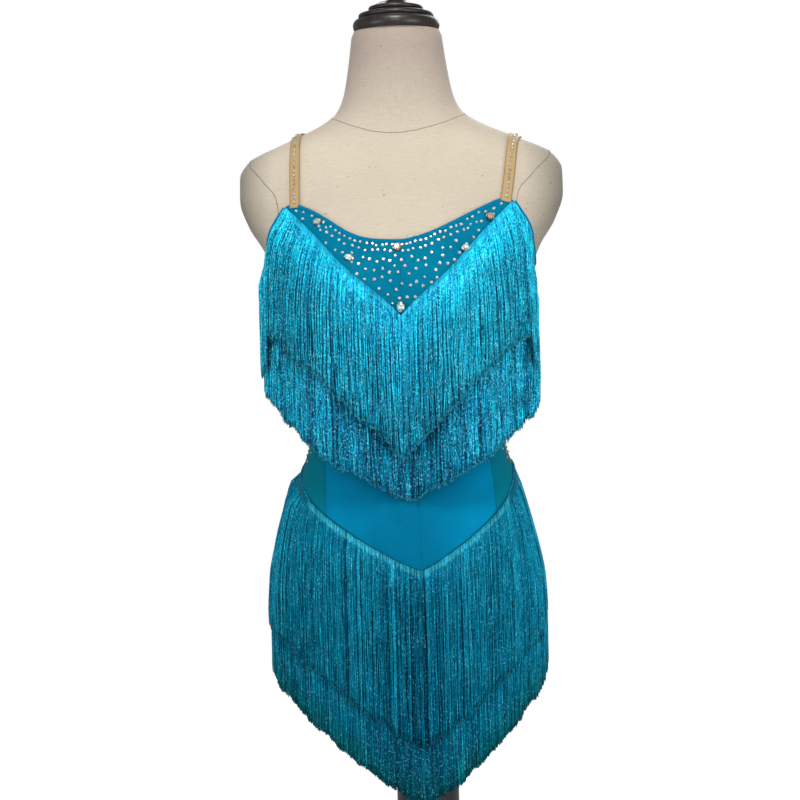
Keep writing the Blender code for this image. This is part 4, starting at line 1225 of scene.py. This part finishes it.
def yoke_spots(generator):
    """(angle, height, radius) of the small stones on the yoke: two loose rows under the neckline, more
    rows at its corners, and the rest thrown at random, none too near another."""
    spots = []

    def edge(angle):
        return float(top_edge(np.array(angle)))

    def add(angle, height, distance, size):
        lower = float(yoke_seam(np.array(angle))) + 0.0022
        if not lower <= height <= edge(angle) - 0.0038 or near_stone(angle, height, 0.0012):
            return
        if all(math.hypot((angle - a) * YOKE_RADIUS, height - z) >= distance for a, z, _ in spots):
            spots.append((angle, height, size))

    width = math.radians(122)
    for drop, pitch in ((0.0064, 0.0066), (0.0128, 0.0078)):
        count = int(width * YOKE_RADIUS / pitch)
        for k in range(count + 1):
            angle = -width / 2 + (k + generator.uniform(-0.16, 0.16)) * width / count
            height = edge(angle) - drop + generator.normal(0, 0.0007)
            add(angle, height, 0.0046, 0.00180 * generator.uniform(0.85, 1.12))
    for side in (-1, 1):
        for drop in (0.0044, 0.0092, 0.0140):
            for degrees in np.arange(41.0, 60.0, 2.6):
                angle = side * math.radians(degrees + generator.uniform(-0.4, 0.4))
                height = edge(angle) - drop + generator.normal(0, 0.0004)
                add(angle, height, 0.0041, 0.00170 * generator.uniform(0.9, 1.1))
    for _ in range(9000):
        angle, height = generator.uniform(-YOKE_END, YOKE_END), generator.uniform(YOKE_POINT, STRAP_SEAT)
        add(angle, height, generator.uniform(0.0072, 0.0090), 0.00192 * generator.uniform(0.85, 1.12))
    return spots


# (degrees, height) of the few stones in front of each side seam's rows
HIP_CLUSTER = (79, 0.760), (76, 0.751), (81, 0.746), (73, 0.764), (83, 0.770), (78, 0.7405)


def build_small_stones(strap_lines, generator):
    yoke, sides, straps = Parts(), Parts(), Parts()
    for angle, height, radius in yoke_spots(generator):
        tones = SILVER if generator.random() < 0.7 else PINKISH
        small_stone(yoke, angle, height, radius, 0.0014, generator, tones)
    for side in (1, -1):
        for degrees, pitch, low, high in ((88.2, 0.0052, 0.745, 0.955), (91.5, 0.0060, 0.745, 0.950)):
            for height in np.arange(low, high, pitch):
                radius = 0.0014 * generator.uniform(0.85, 1.1)
                small_stone(sides, side * math.radians(degrees), height, radius, 0.0012, generator)
        for degrees, height in HIP_CLUSTER:
            angle = side * math.radians(degrees + generator.uniform(-1, 1))
            small_stone(sides, angle, height, 0.0015, 0.0012, generator)
    for *lines, length in strap_lines:
        for at in np.arange(0.006, length[-1] - 0.006, 0.0051):
            seat, normal, ahead = ([np.interp(at, length, axis) for axis in line.T] for line in lines)
            normal = unit(np.array(normal))
            across = unit(np.cross(ahead, normal))
            seat = np.array(seat) + (CLOTH_OUTSIDE + 0.0002) * normal
            seat = seat + generator.normal(0, 0.0002) * across
            radius = 0.0016 * generator.uniform(0.9, 1.1)
            tones = SILVER if generator.random() < 0.5 else AMBER
            cut_stone(straps, seat, normal, across, radius, radius, 0.0013, 8, generator, tones)
    yoke.build("crystals_yoke", CRYSTAL, 0)
    sides.build("crystals_side", CRYSTAL, 0)
    straps.build("crystals_straps", CRYSTAL, 0)


def build_large_stones(generator):
    """The sewn-on crystals, each in a setting: a band round it and four prongs."""
    settings = Parts()
    for number, stone in enumerate(STONES, 1):
        turn = math.radians(stone.degrees)
        normal = form_normal(turn, stone.height)
        seat = form_point(turn, stone.height, stone.seat)
        across = across_at(normal)
        up = np.cross(normal, across)
        cos, sin = math.cos(math.radians(stone.slant)), math.sin(math.radians(stone.slant))
        across, up = cos * across + sin * up, cos * up - sin * across
        large = Parts()
        shape = (0.94 * stone.half_width, 0.94 * stone.half_height, 0.0030, 16)
        cut_stone(large, seat + 0.0004 * normal, normal, across, *shape, generator, stone.tones)
        large.build(f"cut_stone_{number}", CRYSTAL, 0, f"stone_{number}")

        def rim(turn, scale):
            across_part = stone.half_width * np.cos(turn) * across
            return seat + scale * (across_part + stone.half_height * np.sin(turn) * up)

        band = rim(np.arange(40)[:, None] * math.tau / 40, 0.93)
        settings.add(*swept(band, np.tile(normal, (40, 1)), oval_section(0.0004, 0.0012, -0.0004, 6), True))
        for corner in np.radians((45, 135, 225, 315)):
            outer, inner = rim(corner, 1.0), rim(corner, 0.74)
            path = smooth_line([outer, outer + 0.0012 * normal, inner + 0.0026 * normal], 7)
            away = np.tile(-unit(seat - outer), (7, 1))
            settings.add(*swept(path, away, oval_section(0.0005, 0.0006, -0.0003, 6)))
    settings.build("stone_settings", SETTING)


# The cloth's cut: flat width and length, the cut's area and what is sewn on the piece

Sheet = namedtuple("Sheet", "name width length area sewn_on")


# Studio

Lamp = namedtuple("Lamp", "place aim size watts colour")
LAMPS = (
    Lamp((0.02, -0.90, 1.95), (0, 0, 0.95), 0.4, 11, (1.0, 0.985, 0.965)),
    Lamp((0.08, -2.05, 1.30), (0, 0, 0.90), 0.6, 5.0, (1.0, 0.99, 0.98)),
    Lamp((-1.25, -1.10, 0.75), (0, 0, 0.75), 0.8, 6.6, (0.98, 0.99, 1.0)),
    Lamp((1.25, -1.10, 0.75), (0, 0, 0.75), 0.8, 10.0, (0.98, 0.99, 1.0)),
    Lamp((0.30, 1.40, 2.00), (0, 0, 0.90), 1.2, 17, (1.0, 1.0, 1.0)),
)


def studio_paper():
    """Pale seamless paper: it shows nearly white, and it throws little light back on the object."""
    white = {"Emission Color": (1, 1, 1, 1), "Specular IOR Level": 0.0}
    made = Finish("studio_paper", None, (0.22, 0.22, 0.22), Roughness=0.95, Emission_Strength=0.93)
    made.feed(made.shader, white)
    lit = {"Base Color": (0.35, 0.35, 0.35, 1), "Emission Strength": 0.16, **white}
    lit = made.node("BsdfPrincipled", lit).outputs[0]
    seen = made.node("LightPath").outputs["Is Camera Ray"]
    chosen = made.node("MixShader", {0: seen, 1: lit, 2: made.shader.outputs[0]})
    made.feed(made.tree.nodes["Material Output"], {"Surface": chosen.outputs[0]})
    return made.material


def build_studio():
    scene = bpy.context.scene
    profile = [(0.001, -0.0006), (2.0, -0.0006), (4.0, -0.0006)]
    bend = np.linspace(0.1, math.pi / 2, 14)
    profile += [(4.0 + 1.6 * math.sin(t), 1.6 - 1.6 * math.cos(t)) for t in bend]
    profile += [(5.6, 3.4)]
    mesh = bpy.data.meshes.new("studio_floor")
    points = ring_points(profile, 96).reshape(-1, 3)
    mesh.from_pydata(points.tolist(), [], grid_faces(ring_index(len(profile), 96)).tolist())
    mesh.shade_smooth()
    mesh.materials.append(studio_paper())
    floor = bpy.data.objects.new("studio_floor", mesh)
    scene.collection.objects.link(floor)
    scene.world = bpy.data.worlds.new("studio")
    scene.world.use_nodes = True
    background = scene.world.node_tree.nodes["Background"].inputs
    background["Color"].default_value = (1, 1, 1, 1)
    background["Strength"].default_value = 0.25
    for lamp in LAMPS:
        light = bpy.data.lights.new("studio_light", "AREA")
        light.size, light.energy, light.color = lamp.size, lamp.watts, lamp.colour
        placed = bpy.data.objects.new("studio_light", light)
        placed.location = lamp.place
        placed.rotation_euler = (Vector(lamp.aim) - Vector(lamp.place)).to_track_quat("-Z", "Y").to_euler()
        scene.collection.objects.link(placed)
    scene.view_settings.view_transform = "Standard"


def build_camera():
    """The view from a little to the wearer's left at chest height, rolled a little."""
    azimuth, distance, height, aim = math.radians(5), 1.9, 0.92, 0.8075
    roll, shift_pixels, picture, metres_a_pixel = math.radians(-1.5), 6, 800, 1.15e-3
    place = Vector((distance * math.sin(azimuth), -distance * math.cos(azimuth), height))
    target = Vector((0, 0, aim))
    ahead = (target - place).normalized()
    level = ahead.cross(Vector((0, 0, 1))).normalized()
    risen = level.cross(ahead)
    right = level * math.cos(roll) + risen * math.sin(roll)
    up = risen * math.cos(roll) - level * math.sin(roll)
    matrix = Matrix((right, up, -ahead)).transposed().to_4x4()
    matrix.translation = place
    data = bpy.data.cameras.new("camera")
    data.sensor_width = 36
    data.lens = (target - place).length / metres_a_pixel / picture * data.sensor_width
    data.shift_x = -shift_pixels / picture
    camera = bpy.data.objects.new("camera", data)
    camera.matrix_world = matrix
    bpy.context.scene.collection.objects.link(camera)
    bpy.context.scene.camera = camera


form = build_form()
build_form_seams()
build_stand()
build_body()
build_skirt()
build_trim()
strap_lines = build_straps()
build_fringes()
stone_seeded = np.random.default_rng(77)
build_small_stones(strap_lines, stone_seeded)
build_large_stones(stone_seeded)
build_studio()
build_camera()
